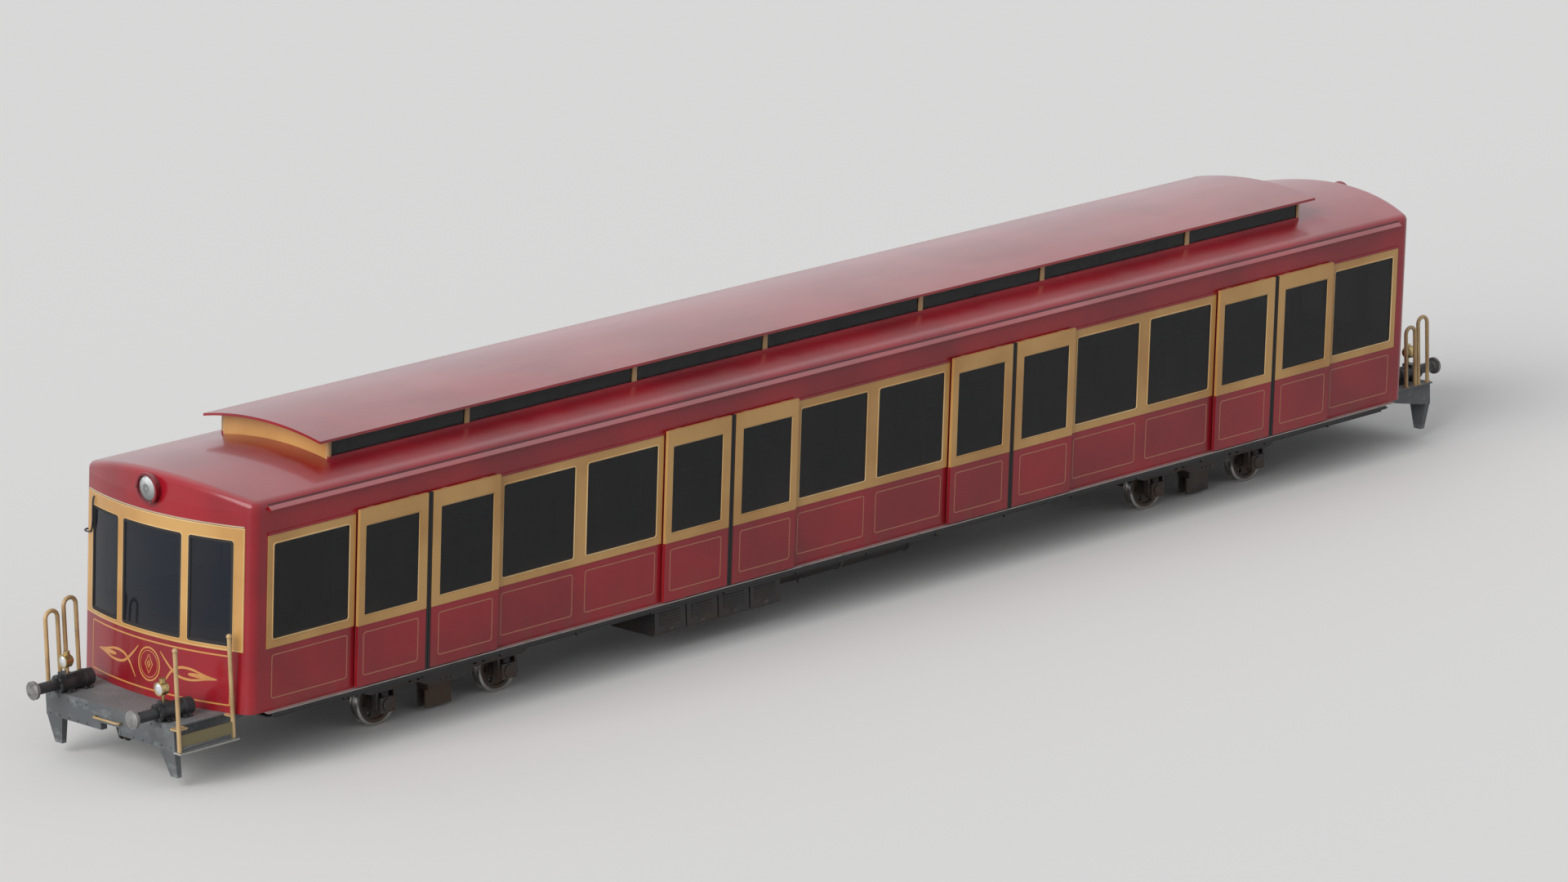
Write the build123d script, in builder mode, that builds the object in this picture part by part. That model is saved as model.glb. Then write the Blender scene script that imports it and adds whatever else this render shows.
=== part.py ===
from build123d import *
import math
import os

# A funicular car with a clerestory roof. Millimetres; X runs uphill along the rails, Y across
# the car, Z up from the lowest point of the wheel flanges. The right-hand side is -Y.

os.makedirs("parts", exist_ok=True)

# Driving dimensions of the body
door_pitch = 4574.0
doors_per_side = 4
end_bay = 2469.0             # from the centre of the outermost doorway to the body's corner
body_width = 2884.0          # over the side panels
end_bow = 257.0              # how far each end swells out in plan
corner_radius = 135.0
end_joint = 190.0            # length of side that belongs to the end wall, at each corner
lean = 0.08                  # pillars lean uphill by this much per unit of height
panel = 60.0                 # thickness of walls and roof skin
fit = 0.3                    # gap between pieces that move on each other or share a curve

# Running gear, which sets how high the body stands
gauge_centre = 752.0         # centre of each rail head from the car's centreline
rail_top = 30.0              # the tread's lowest point, above the flange
wheel_radius = 250.0
wheel_clear = 80.0           # from the top of a flange to the underframe
bogie_setback = 3130.0       # from the body's corner to the bogie's centre
wheelbase = 1800.0
axle_radius = 60.0
journal_radius = 48.0

# Heights of the body above its skirt
skirt_rise = 100.0           # from the underframe's foot to the skirt
floor_rise = 30.0
floor_thickness = 30.0
glass_rise = 790.0           # to the lower edge of the side glass, where the leaning body has no shift
header_rise = 1920.0
eave_rise = 2220.0
shoulder_rise = 2320.0       # roof surface above the side panels, before its edge is rounded
crown_rise = 2510.0
roof_edge_radius = 90.0

# Doors and side windows
leaf_gap = 76.0              # rubber-filled gap between two shut leaves
leaf_width = 986.0
leaf_lap = 59.0              # how far a shut leaf laps over the side panel
leaf_stile = 112.0           # painted width beside the glass, at the meeting edge
leaf_border = 85.0           # and at the outer edge
leaf_thickness = 40.0
leaf_standoff = 25.0         # from the side panel to the leaf's inner face
leaf_clear = 12.0            # from a shut leaf to the painted window frame, to the sill lip and to the roof
window_post = 194.0          # painted post between the two lights of a bay
corner_post = 279.0          # from the outermost light to the body's corner
rebate = 12.0                # how far each pane is hidden behind its frame
glass = 8.0
light_radius = 24.0          # corners of every light
frame_thickness = 8.0
frame_border = 88.0          # width of painted frame outside the glass
door_rail = (20.0, 28.0)     # the rail's foot above the header, and its height
door_rail_depth = 14.0

# End windows
end_frame_inset = 104.0      # from the body's side to the painted frame
end_glass_inset = 262.0
end_mullion = 550.0          # centre of each upright
end_mullion_half = 74.0

# Clerestory
clerestory_setback = 1480.0  # from the body's corner
clerestory_half = 920.0
clerestory_wall = 40.0
clerestory_post = 64.0
clerestory_roof_half = 1000.0
clerestory_crown = 280.0     # above the main roof's crown
clerestory_rise = 100.0
clerestory_roof_thickness = 30.0
clerestory_overhang = 200.0

# End platforms and what stands on them
platform_reach = 870.0       # from the body's corner to the front of the beam
deck_thickness = 18.0
deck_inset = 232.0           # from the inner face of the body's side to the deck's edge
beam_inset = 40.0
beam_drop = 288.0
beam_thickness = 80.0
buffer_inset = 290.0         # from the deck's side edge to the middle of a buffer
buffer_radius = 95.0
buffer_reach = 400.0
lamp_setback = 100.0
lamp_rise = 350.0
tube = 25.0                  # radius of the painted handrails
loop_inset = 50.0
loop_half = 84.0             # from the middle of a hand loop to each leg
ladder_stand = 120.0         # from the deck's edge to the poles
ladder_reach = 60.0          # the outer pole stands this far beyond the beam
ladder_pitch = 750.0
ladder_rise = 880.0
step_drop = 250.0

# Worked out from the above
half_length = (doors_per_side - 1) * door_pitch / 2 + end_bay
side_y = body_width / 2
inner_y = side_y - panel
joint_x = half_length - end_joint
leaf_y = side_y + leaf_standoff
lean_stretch = math.sqrt(1 + lean**2)

flange_height = rail_top
axle_z = rail_top + wheel_radius
underframe_z = axle_z + wheel_radius + flange_height + wheel_clear
skirt_z = underframe_z + skirt_rise
floor_z = skirt_z + floor_rise
floor_top = floor_z + floor_thickness
glass_z = skirt_z + glass_rise
header_z = skirt_z + header_rise
eave_z = skirt_z + eave_rise
shoulder_z = skirt_z + shoulder_rise
crown_z = skirt_z + crown_rise
side_glass_top = header_z - 86.0
leaf_glass_top = header_z - 117.0
door_rail_z = (header_z + door_rail[0], header_z + sum(door_rail))
leaf_z = (skirt_z + leaf_clear, door_rail_z[1] + 16.0)
frame_z = (glass_z - 98.0, door_rail_z[0] - 2.0)
end_frame_z = (glass_z - 108.0, header_z + 125.0)
end_glass_z = (glass_z - 34.0, header_z - 46.0)
clerestory_glass_z = (crown_z - 40.0, crown_z + 138.0)
clerestory_crown_z = crown_z + clerestory_crown
bow_radius = (side_y**2 + end_bow**2) / (2 * end_bow)
roof_rise = crown_z - shoulder_z
roof_radius = (side_y**2 + roof_rise**2) / (2 * roof_rise)

leaf_outer = leaf_gap / 2 + leaf_width
leaf_glass = (leaf_gap / 2 + leaf_stile, leaf_outer - leaf_border)
doorway_half = leaf_outer - leaf_lap
window_start = leaf_outer + leaf_clear + frame_border
end_frame_half = side_y - end_frame_inset
end_glass_half = side_y - end_glass_inset
clerestory_half_length = half_length - clerestory_setback
bogie_x = half_length - bogie_setback
platform_x = half_length + platform_reach
deck_half = inner_y - deck_inset
buffer_y = deck_half - buffer_inset
beam_half = deck_half - beam_inset
beam_z = skirt_z - beam_drop
buffer_x = platform_x + buffer_reach
lamp_x, lamp_y, lamp_z = platform_x - lamp_setback, buffer_y - 30.0, skirt_z + lamp_rise
loop_y = deck_half - loop_inset
ladder_x = (platform_x + ladder_reach, platform_x + ladder_reach - ladder_pitch)
ladder_y = deck_half + ladder_stand
ladder_top = skirt_z + ladder_rise
step_z = skirt_z - step_drop
door_centres = [(i - (doors_per_side - 1) / 2) * door_pitch for i in range(doors_per_side)]

# Side bays between doorways, as (start, end) along the side
bay_edges = [-joint_x] + [c + s * doorway_half for c in door_centres for s in (-1, 1)] + [joint_x]
side_bays = list(zip(bay_edges[::2], bay_edges[1::2]))
outer_light = (window_start, end_bay - corner_post)
side_windows = [(door_centres[0] - outer_light[1], door_centres[0] - outer_light[0])]
for a, b in zip(door_centres, door_centres[1:]):
    side_windows.append((a + window_start, (a + b - window_post) / 2))
    side_windows.append(((a + b + window_post) / 2, b - window_start))
side_windows.append((door_centres[-1] + outer_light[0], door_centres[-1] + outer_light[1]))
end_windows = [
    (-end_glass_half, -end_mullion - end_mullion_half),
    (-end_mullion + end_mullion_half, end_mullion - end_mullion_half),
    (end_mullion + end_mullion_half, end_glass_half),
]


def lean_at(z):
    """How far uphill the leaning body stands at height z."""
    return lean * (z - glass_z)


def leaning_panel(x0, x1, z0, z1, mode=Mode.ADD):
    """A side-view outline whose upright edges lean with the pillars."""
    low, high = lean_at(z0), lean_at(z1)
    Polygon((x0 + low, z0), (x1 + low, z0), (x1 + high, z1), (x0 + high, z1), align=None, mode=mode)


def light_outline(x0, x1, z0, z1):
    """A leaning side-view outline with rounded corners, as a sketch by itself."""
    with BuildSketch() as light:
        leaning_panel(x0, x1, z0, z1)
        fillet(light.vertices(), radius=light_radius)
    return light.sketch


def upright_panel(a0, a1, z0, z1, mode=Mode.ADD):
    """A plain rectangle given by its limits."""
    Polygon((a0, z0), (a1, z0), (a1, z1), (a0, z1), align=None, mode=mode)


def extrude_leaning(height, mode=Mode.ADD):
    """Carry the pending plan outline up by height, along the pillars."""
    extrude(amount=height * lean_stretch, dir=(lean, 0, 1), mode=mode)


def bow_at(y):
    """How far from the car's middle the bowed end's outer face is at y, where the body has no shift."""
    return half_length + end_bow - bow_radius + math.sqrt(bow_radius**2 - y**2)


def plan_at(z):
    """The plan plane at height z, moved uphill as the body is there."""
    return Plane(origin=(lean_at(z), 0, z))


def side_plane(y):
    """The upright plane of the right-hand side, y from the centreline, facing outwards."""
    return Plane.XZ.offset(y)


def finish(piece, name):
    """Label a sub-part and write it."""
    piece.part.label = name
    export_step(piece.part, f"parts/{name}.step")


def end_face(end, inset, back):
    """The bowed end in plan, from x = back out, drawn inset inside its outer face; end is -1 or 1."""
    with BuildSketch() as face:
        with BuildLine():
            ThreePointArc(
                (end * half_length, -side_y),
                (end * (half_length + end_bow), 0),
                (end * half_length, side_y),
            )
            Polyline(
                (end * half_length, side_y),
                (end * (back - inset), side_y),
                (end * (back - inset), -side_y),
                (end * half_length, -side_y),
            )
        make_face()
        corners = face.vertices().group_by(Axis.X)[0 if end < 0 else -1]
        fillet(corners, radius=corner_radius)
        if inset:
            offset(amount=-inset)
    return face.sketch


def domed(x, tip, z, radius):
    """Points of a spherical cap's arc in side view, from its edge, radius above z, to its tip on the axis."""
    sphere = (radius**2 + (tip - x) ** 2) / (2 * (tip - x))
    middle = tip - sphere + math.copysign(math.sqrt(sphere**2 - (radius / 2) ** 2), sphere)
    return (x, z + radius), (middle, z + radius / 2), (tip, z)


# Side panels: one for each bay, from the skirt to the door header, with their windows cut
with BuildPart() as side_panels_right:
    with BuildSketch(side_plane(inner_y)):
        for x0, x1 in side_bays:
            leaning_panel(x0, x1, skirt_z, header_z)
        for x0, x1 in side_windows:
            leaning_panel(
                x0 - rebate, x1 + rebate, glass_z - rebate, side_glass_top + rebate, Mode.SUBTRACT
            )
    extrude(amount=panel)
finish(side_panels_right, "side_panels_right")

with BuildPart() as side_panels_left:
    mirror(side_panels_right.part, about=Plane.XZ)
finish(side_panels_left, "side_panels_left")

# Letterboards: the deep strip above the doors and windows, up to the eave
with BuildPart() as letterboards:
    with BuildSketch(side_plane(inner_y)):
        leaning_panel(-joint_x, joint_x, header_z, eave_z)
    extrude(amount=panel)
    mirror(about=Plane.XZ)
finish(letterboards, "letterboards")

# Rails that the sliding leaves hang on, and the sill lip below them
sill_lip = 10.0
with BuildPart() as door_rails:
    with BuildSketch(side_plane(side_y)):
        leaning_panel(-joint_x, joint_x, *door_rail_z)
    extrude(amount=door_rail_depth)
    with BuildSketch(side_plane(inner_y)):
        leaning_panel(-joint_x, joint_x, skirt_z - sill_lip, skirt_z)
    extrude(amount=panel + leaf_standoff + leaf_thickness)
    mirror(about=Plane.XZ)
finish(door_rails, "door_rails")

# Painted frames round the side windows: two lights in the middle bays, one in the end bays
frame_spans = [(side_windows[0][0] - frame_border, side_windows[0][1] + frame_border)]
frame_spans += [
    (a[0] - frame_border, b[1] + frame_border)
    for a, b in zip(side_windows[1::2], side_windows[2::2])
]
frame_spans += [(side_windows[-1][0] - frame_border, side_windows[-1][1] + frame_border)]
with BuildPart() as window_frames:
    with BuildSketch(side_plane(side_y)):
        for x0, x1 in frame_spans:
            leaning_panel(x0, x1, *frame_z)
        for x0, x1 in side_windows:
            add(light_outline(x0, x1, glass_z, side_glass_top), mode=Mode.SUBTRACT)
    extrude(amount=frame_thickness)
    mirror(about=Plane.XZ)
finish(window_frames, "window_frames")

with BuildPart() as side_glass:
    with BuildSketch(side_plane(side_y - glass)):
        for x0, x1 in side_windows:
            leaning_panel(x0 - rebate, x1 + rebate, glass_z - rebate, side_glass_top + rebate)
    extrude(amount=glass)
    mirror(about=Plane.XZ)
finish(side_glass, "side_glass")


def end_wall(end):
    """One bowed end with its rounded corners and three window openings."""
    with BuildPart() as wall:
        with BuildSketch(plan_at(skirt_z)):
            add(end_face(end, 0, joint_x - panel))
            add(end_face(end, panel, joint_x), mode=Mode.SUBTRACT)
            with Locations((end * (joint_x - panel), 0)):
                Rectangle(2 * panel, body_width, mode=Mode.SUBTRACT)
        extrude_leaning(eave_z - skirt_z)
        with BuildSketch(Plane.YZ.offset(end * joint_x)):
            for y0, y1 in end_windows:
                upright_panel(y0 - rebate, y1 + rebate, end_glass_z[0] - rebate, end_glass_z[1] + rebate)
        extrude(amount=end * 2 * (end_joint + end_bow), mode=Mode.SUBTRACT)
    return wall.part


def end_window_frame(end):
    """The painted frame that follows one bowed end round its three windows."""
    with BuildPart() as frame:
        with BuildSketch(plan_at(end_frame_z[0])):
            add(end_face(end, -frame_thickness, joint_x))
            add(end_face(end, 0, joint_x - frame_thickness), mode=Mode.SUBTRACT)
            with Locations((end * (half_length + end_bow), 0)):
                bow_depth = end_joint + end_bow - 2 * frame_thickness
                Rectangle(2 * bow_depth, 2 * end_frame_half, mode=Mode.INTERSECT)
        extrude_leaning(end_frame_z[1] - end_frame_z[0])
        with BuildSketch(Plane.YZ.offset(end * joint_x)):
            for y0, y1 in end_windows:
                with Locations(((y0 + y1) / 2, sum(end_glass_z) / 2)):
                    RectangleRounded(y1 - y0, end_glass_z[1] - end_glass_z[0], light_radius)
        extrude(amount=end * 2 * (end_joint + end_bow), mode=Mode.SUBTRACT)
    return frame.part


def end_panes(end):
    """Three curved panes that lie against the inside of the painted frame."""
    with BuildPart() as panes:
        with BuildSketch(plan_at(end_frame_z[0])):
            add(end_face(end, fit, joint_x))
            add(end_face(end, fit + glass, joint_x - panel), mode=Mode.SUBTRACT)
        extrude_leaning(end_frame_z[1] - end_frame_z[0])
        with BuildSketch(Plane.YZ.offset(end * joint_x)):
            for y0, y1 in end_windows:
                upright_panel(
                    y0 - rebate + fit,
                    y1 + rebate - fit,
                    end_glass_z[0] - rebate + fit,
                    end_glass_z[1] + rebate - fit,
                )
        extrude(amount=end * 2 * (end_joint + end_bow), mode=Mode.INTERSECT)
    return panes.part


downhill_piece, uphill_piece = end_wall(-1), end_wall(1)
with BuildPart() as end_walls:
    add(downhill_piece)
    add(uphill_piece)
finish(end_walls, "end_walls")

downhill_piece, uphill_piece = end_window_frame(-1), end_window_frame(1)
with BuildPart() as end_window_frames:
    add(downhill_piece)
    add(uphill_piece)
finish(end_window_frames, "end_window_frames")

downhill_piece, uphill_piece = end_panes(-1), end_panes(1)
with BuildPart() as end_glass:
    add(downhill_piece)
    add(uphill_piece)
finish(end_glass, "end_glass")


def roof_drop(y):
    """How far the crowned roof has fallen at y from the centreline."""
    return roof_radius - math.sqrt(roof_radius**2 - y**2)


def crowned_section(inset):
    """The roof's crowned top in section, inset inside the outer skin, down past the eave."""
    half = side_y + 2 * panel
    top = crown_z - inset
    edge = top - roof_drop(half)
    with BuildSketch() as section:
        with BuildLine():
            ThreePointArc((-half, edge), (0, top), (half, edge))
            Polyline((half, edge), (half, eave_z - panel), (-half, eave_z - panel), (-half, edge))
        make_face()
    return section.sketch


def roof_block(plan, inset):
    """A plan outline carried up leaning from the eave and cut to the crowned section."""
    with BuildPart() as block:
        with BuildSketch(plan_at(eave_z)):
            add(plan)
        extrude_leaning(crown_z - eave_z + panel)
        with BuildSketch(Plane.YZ):
            add(crowned_section(inset))
        extrude(amount=2 * half_length, both=True, mode=Mode.INTERSECT)
    return block.part


def roof_cap(end):
    """The full-width roof over one end, rounded over the bowed wall, from the clerestory outwards."""
    shell = roof_block(end_face(end, 0, clerestory_half_length), 0)
    hollow = roof_block(end_face(end, panel, clerestory_half_length - 2 * panel), panel)
    with BuildPart() as cap:
        add(shell)
        rim = cap.faces().sort_by(Axis.Z)[-1].edges().sort_by(Axis.X)
        fillet(rim[:-1] if end < 0 else rim[1:], radius=roof_edge_radius)
        add(hollow, mode=Mode.SUBTRACT)
    return cap.part


downhill_piece, uphill_piece = roof_cap(-1), roof_cap(1)
with BuildPart() as roof_caps:
    add(downhill_piece)
    add(uphill_piece)
finish(roof_caps, "roof_caps")

# Roof sides: the strips between the eaves and the clerestory
with BuildSketch() as strip_plan:
    with Locations((0, -(side_y + clerestory_half) / 2)):
        Rectangle(2 * clerestory_half_length, side_y - clerestory_half)
with BuildSketch() as strip_hollow_plan:
    with Locations((0, -(inner_y + clerestory_half - panel) / 2)):
        Rectangle(2 * clerestory_half_length + 2 * panel, inner_y - clerestory_half + panel)
strip, strip_hollow = roof_block(strip_plan.sketch, 0), roof_block(strip_hollow_plan.sketch, panel)
with BuildPart() as roof_sides:
    add(strip)
    rim = roof_sides.faces().sort_by(Axis.Z)[-1].edges().sort_by(Axis.Y)[0]
    fillet(rim, radius=roof_edge_radius)
    add(strip_hollow, mode=Mode.SUBTRACT)
    mirror(about=Plane.XZ)
finish(roof_sides, "roof_sides")

gutter_reach, gutter_height, gutter_round = 24.0, 30.0, 11.0
with BuildPart() as gutters:
    with BuildSketch(side_plane(side_y)):
        leaning_panel(-joint_x, joint_x, eave_z, eave_z + gutter_height)
    extrude(amount=gutter_reach)
    lip = gutters.edges().filter_by(Axis.X).group_by(Axis.Y)[0]
    fillet(lip, radius=gutter_round)
    mirror(about=Plane.XZ)
finish(gutters, "gutters")

# Clerestory: walls standing in the roof well, with lights over each doorway and each window pair
clerestory_radius = (clerestory_roof_half**2 + clerestory_rise**2) / (2 * clerestory_rise)


def clerestory_underside(y):
    """Height of the underside of the clerestory roof at y."""
    drop = clerestory_radius - math.sqrt(clerestory_radius**2 - y**2)
    return clerestory_crown_z - clerestory_roof_thickness - drop


clerestory_foot = crown_z - panel - roof_drop(clerestory_half)
clerestory_head = clerestory_underside(clerestory_half) - fit
post_marks = [c + s * leaf_outer for c in door_centres for s in (-1, 1)][1:-1]
light_marks = [-clerestory_half_length, *post_marks, clerestory_half_length]
clerestory_lights = [
    (a + clerestory_post / 2, b - clerestory_post / 2) for a, b in zip(light_marks, light_marks[1:])
]
with BuildPart() as clerestory_sides:
    with BuildSketch(side_plane(clerestory_half - clerestory_wall)):
        leaning_panel(-clerestory_half_length, clerestory_half_length, clerestory_foot, clerestory_head)
        for x0, x1 in clerestory_lights:
            leaning_panel(x0, x1, *clerestory_glass_z, Mode.SUBTRACT)
    extrude(amount=clerestory_wall)
    mirror(about=Plane.XZ)
finish(clerestory_sides, "clerestory_sides")

clerestory_glass_thickness = 6.0
with BuildPart() as clerestory_glass:
    with BuildSketch(side_plane(clerestory_half - (clerestory_wall + clerestory_glass_thickness) / 2)):
        for x0, x1 in clerestory_lights:
            leaning_panel(x0 + fit, x1 - fit, clerestory_glass_z[0] + fit, clerestory_glass_z[1] - fit)
    extrude(amount=clerestory_glass_thickness)
    mirror(about=Plane.XZ)
finish(clerestory_glass, "clerestory_glass")


def clerestory_section(half, base, lower):
    """The arched section under the clerestory roof's skin, lowered by lower, standing on base."""
    top = clerestory_crown_z - lower
    drop = clerestory_radius - math.sqrt(clerestory_radius**2 - half**2)
    with BuildSketch() as section:
        with BuildLine():
            ThreePointArc((-half, top - drop), (0, top), (half, top - drop))
            Polyline((half, top - drop), (half, base), (-half, base), (-half, top - drop))
        make_face()
    return section.sketch


end_panel_foot = crown_z - 1.5 * panel
with BuildPart() as clerestory_ends:
    with BuildSketch(plan_at(end_panel_foot)):
        for end in (-1, 1):
            with Locations((end * (clerestory_half_length - clerestory_wall / 2), 0)):
                Rectangle(clerestory_wall, 2 * (clerestory_half - clerestory_wall - fit))
    extrude_leaning(clerestory_crown_z - end_panel_foot)
    with BuildSketch(Plane.YZ):
        add(clerestory_section(clerestory_half, end_panel_foot, clerestory_roof_thickness + fit))
    extrude(amount=2 * half_length, both=True, mode=Mode.INTERSECT)
finish(clerestory_ends, "clerestory_ends")

roof_edge_z = clerestory_crown_z - clerestory_rise
with BuildPart() as clerestory_roof:
    with BuildSketch(Plane.YZ.offset(lean_at(roof_edge_z))):
        add(clerestory_section(clerestory_roof_half, roof_edge_z - clerestory_roof_thickness, 0))
        with BuildLine():
            low = clerestory_crown_z - clerestory_roof_thickness
            foot = low - clerestory_rise
            ThreePointArc((-clerestory_roof_half, foot), (0, low), (clerestory_roof_half, foot))
            Line((clerestory_roof_half, foot), (-clerestory_roof_half, foot))
        make_face(mode=Mode.SUBTRACT)
    extrude(amount=clerestory_half_length + clerestory_overhang, both=True)
finish(clerestory_roof, "clerestory_roof")

# Floor and doorway thresholds
with BuildPart() as floor:
    with BuildSketch(plan_at(floor_z)):
        add(end_face(-1, panel + fit, 0))
        add(end_face(1, panel + fit, 0))
    extrude_leaning(floor_thickness)
finish(floor, "floor")

threshold_depth = panel + leaf_standoff - 10.0
with BuildPart() as thresholds:
    with BuildSketch(side_plane(inner_y)):
        for c in door_centres:
            leaning_panel(c - doorway_half + fit, c + doorway_half - fit, skirt_z, floor_top)
    extrude(amount=threshold_depth)
    mirror(about=Plane.XZ)
finish(thresholds, "thresholds")

# Underframe: side and centre sills, cross-members, and a bolster over each bogie
sill_width, sill_web, sill_flange = 92.0, 12.0, 14.0
centre_sill_y, centre_sill_z = 340.0, underframe_z - 40.0
deck_bottom = skirt_z - deck_thickness
beam_back_x = platform_x - beam_thickness
cross_pitch = door_pitch / 4
cross_count = 2 * int(half_length / cross_pitch) + 1
cross_width, cross_web = 90.0, 10.0
bolster_half, bolster_z = 200.0, centre_sill_z
centre_plate_radius, centre_plate_z = 220.0, bolster_z - 25.0
king_pin_radius, king_pin_top = 55.0, centre_plate_z + 125.0
headstock_x = joint_x - 80.0
with BuildPart() as underframe:
    with BuildSketch(Plane.YZ):
        for side in (-1, 1):
            with Locations((side * (inner_y - sill_width / 2), (underframe_z + floor_z) / 2)):
                Rectangle(sill_width, floor_z - underframe_z)
            with Locations((side * (inner_y - sill_web - sill_width / 2), (underframe_z + floor_z) / 2)):
                Rectangle(sill_width, floor_z - underframe_z - 2 * sill_flange, mode=Mode.SUBTRACT)
    extrude(amount=headstock_x, both=True)
    with BuildSketch(Plane.YZ):
        for side in (-1, 1):
            with Locations((side * centre_sill_y, (centre_sill_z + deck_bottom) / 2)):
                Rectangle(sill_width, deck_bottom - centre_sill_z)
            with Locations((side * (centre_sill_y + sill_web), (centre_sill_z + deck_bottom) / 2)):
                Rectangle(sill_width, deck_bottom - centre_sill_z - 2 * sill_flange, mode=Mode.SUBTRACT)
    extrude(amount=beam_back_x, both=True)
    cross_marks = [(i - (cross_count - 1) / 2) * cross_pitch for i in range(cross_count)]
    cross_marks = [m for m in cross_marks if abs(m) < headstock_x - cross_pitch / 3]
    with BuildSketch(Plane.XZ):
        for x in [-headstock_x, *cross_marks, headstock_x]:
            with Locations((x, (underframe_z + floor_z) / 2)):
                Rectangle(cross_width, floor_z - underframe_z)
            for half in (-1, 1):
                with Locations((x + half * (cross_width + cross_web) / 4, (underframe_z + floor_z) / 2)):
                    cell_height = floor_z - underframe_z - 2 * sill_flange
                    Rectangle((cross_width - cross_web) / 2, cell_height, mode=Mode.SUBTRACT)
    extrude(amount=inner_y - sill_web, both=True)
    with BuildSketch(Plane.YZ):
        Polygon(
            (-inner_y + sill_web, floor_z),
            (-inner_y + sill_web, underframe_z + sill_flange),
            (-2 * centre_plate_radius, bolster_z),
            (2 * centre_plate_radius, bolster_z),
            (inner_y - sill_web, underframe_z + sill_flange),
            (inner_y - sill_web, floor_z),
            align=None,
        )
    bolster_profile = extrude(amount=bolster_half, both=True, mode=Mode.PRIVATE)
    with Locations((-bogie_x, 0, 0), (bogie_x, 0, 0)):
        add(bolster_profile)
    with BuildSketch(Plane.XY.offset(centre_plate_z)):
        with Locations((-bogie_x, 0), (bogie_x, 0)):
            Circle(centre_plate_radius)
    extrude(amount=bolster_z - centre_plate_z)
    with BuildSketch(Plane.XY.offset(centre_plate_z)):
        with Locations((-bogie_x, 0), (bogie_x, 0)):
            Circle(king_pin_radius + fit)
    extrude(amount=king_pin_top + panel - centre_plate_z, mode=Mode.SUBTRACT)
finish(underframe, "underframe")

# End platforms: a deck plate on a front beam with a pocket for the coupler, and tapered side webs
pocket_half, pocket_top = 150.0, beam_z + 88.0
web_thickness = 30.0
with BuildPart() as end_platforms:
    with BuildSketch(Plane.XY.offset(deck_bottom)):
        with Locations(((platform_x + joint_x) / 2, 0)):
            Rectangle(platform_x - joint_x, 2 * deck_half)
    extrude(amount=deck_thickness)
    with BuildSketch(Plane.YZ.offset(beam_back_x)):
        upright_panel(-beam_half, beam_half, beam_z, deck_bottom)
        upright_panel(-pocket_half, pocket_half, beam_z, pocket_top, Mode.SUBTRACT)
    extrude(amount=beam_thickness)
    for y in (-beam_half, beam_half - web_thickness):
        with BuildSketch(Plane.XZ.offset(y)):
            Polygon(
                (beam_back_x, beam_z),
                (beam_back_x, deck_bottom),
                (joint_x, deck_bottom),
                (joint_x, deck_bottom - 2 * web_thickness),
                align=None,
            )
        extrude(amount=web_thickness)
    mirror(about=Plane.YZ)
finish(end_platforms, "end_platforms")

# Rail guards: tapered legs under the beam, one above the outside of each rail
guard_tip_z = rail_top + 100.0
guard_top, guard_tip = (80.0, 260.0), (60.0, 120.0)
guard_y, guard_lean, guard_splay = gauge_centre + 218.0, 50.0, 30.0
with BuildPart() as rail_guards:
    with BuildSketch(Plane.XY.offset(beam_z)):
        with Locations((platform_x - beam_thickness / 2, guard_y)):
            Rectangle(*guard_top)
    with BuildSketch(Plane.XY.offset(guard_tip_z)):
        with Locations((platform_x - beam_thickness / 2 - guard_lean, guard_y + guard_splay)):
            Rectangle(*guard_tip)
    loft()
    mirror(about=Plane.XZ)
    mirror(about=Plane.YZ)
finish(rail_guards, "rail_guards")

# Buffers: a sleeve held in a saddle on the deck, a plunger and a rounded head
buffer_z = skirt_z + buffer_radius + 5.0
sleeve_x = (platform_x - 440.0, platform_x + 30.0)
collar = sleeve_x[1] - platform_x - 2.0
plunger_radius, head_radius, head_thickness, head_dome = 62.0, 105.0, 34.0, 26.0
saddle_top = buffer_z + 110.0
saddle = (110.0, 150.0)
with BuildPart() as buffers:
    with BuildSketch(Plane.XZ.offset(-buffer_y)):
        with BuildLine():
            head_back = buffer_x - head_dome - head_thickness
            Polyline(
                (buffer_x, buffer_z),
                (sleeve_x[0], buffer_z),
                (sleeve_x[0], buffer_z + buffer_radius),
                (sleeve_x[1] - collar, buffer_z + buffer_radius),
                (sleeve_x[1] - collar, buffer_z + head_radius),
                (sleeve_x[1], buffer_z + head_radius),
                (sleeve_x[1], buffer_z + plunger_radius),
                (head_back, buffer_z + plunger_radius),
                (head_back, buffer_z + head_radius),
                (head_back + head_thickness, buffer_z + head_radius),
            )
            ThreePointArc(*domed(head_back + head_thickness, buffer_x, buffer_z, head_radius))
        make_face()
    revolve(axis=Axis((0, buffer_y, buffer_z), (1, 0, 0)))
    with BuildSketch(Plane.XY.offset(skirt_z)):
        with Locations((lamp_x, buffer_y)):
            Rectangle(*saddle)
        with Locations((sleeve_x[0] + saddle[0], buffer_y)):
            Rectangle(*saddle)
    extrude(amount=buffer_z - skirt_z)
    with BuildSketch(Plane.XY.offset(buffer_z)):
        with Locations((lamp_x, buffer_y)):
            Rectangle(*saddle)
    extrude(amount=saddle_top - buffer_z)
    mirror(about=Plane.XZ)
    mirror(about=Plane.YZ)
finish(buffers, "buffers")

# Lamps: a headlight let against each bowed end, and two marker lamps on stems at each end
headlight_z = shoulder_z
headlight_reach = 65.0       # how far its rim stands out from the bowed end
headlight_radius, headlight_depth, headlight_recess = 172.0, 160.0, 18.0
headlight_lens_radius = 146.0
marker_radius, marker_length, marker_cap, stem_radius = 75.0, 110.0, 34.0, 16.0
marker_lens_radius = 60.0
marker_dome, headlight_dome = 16.0, 34.0


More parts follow.
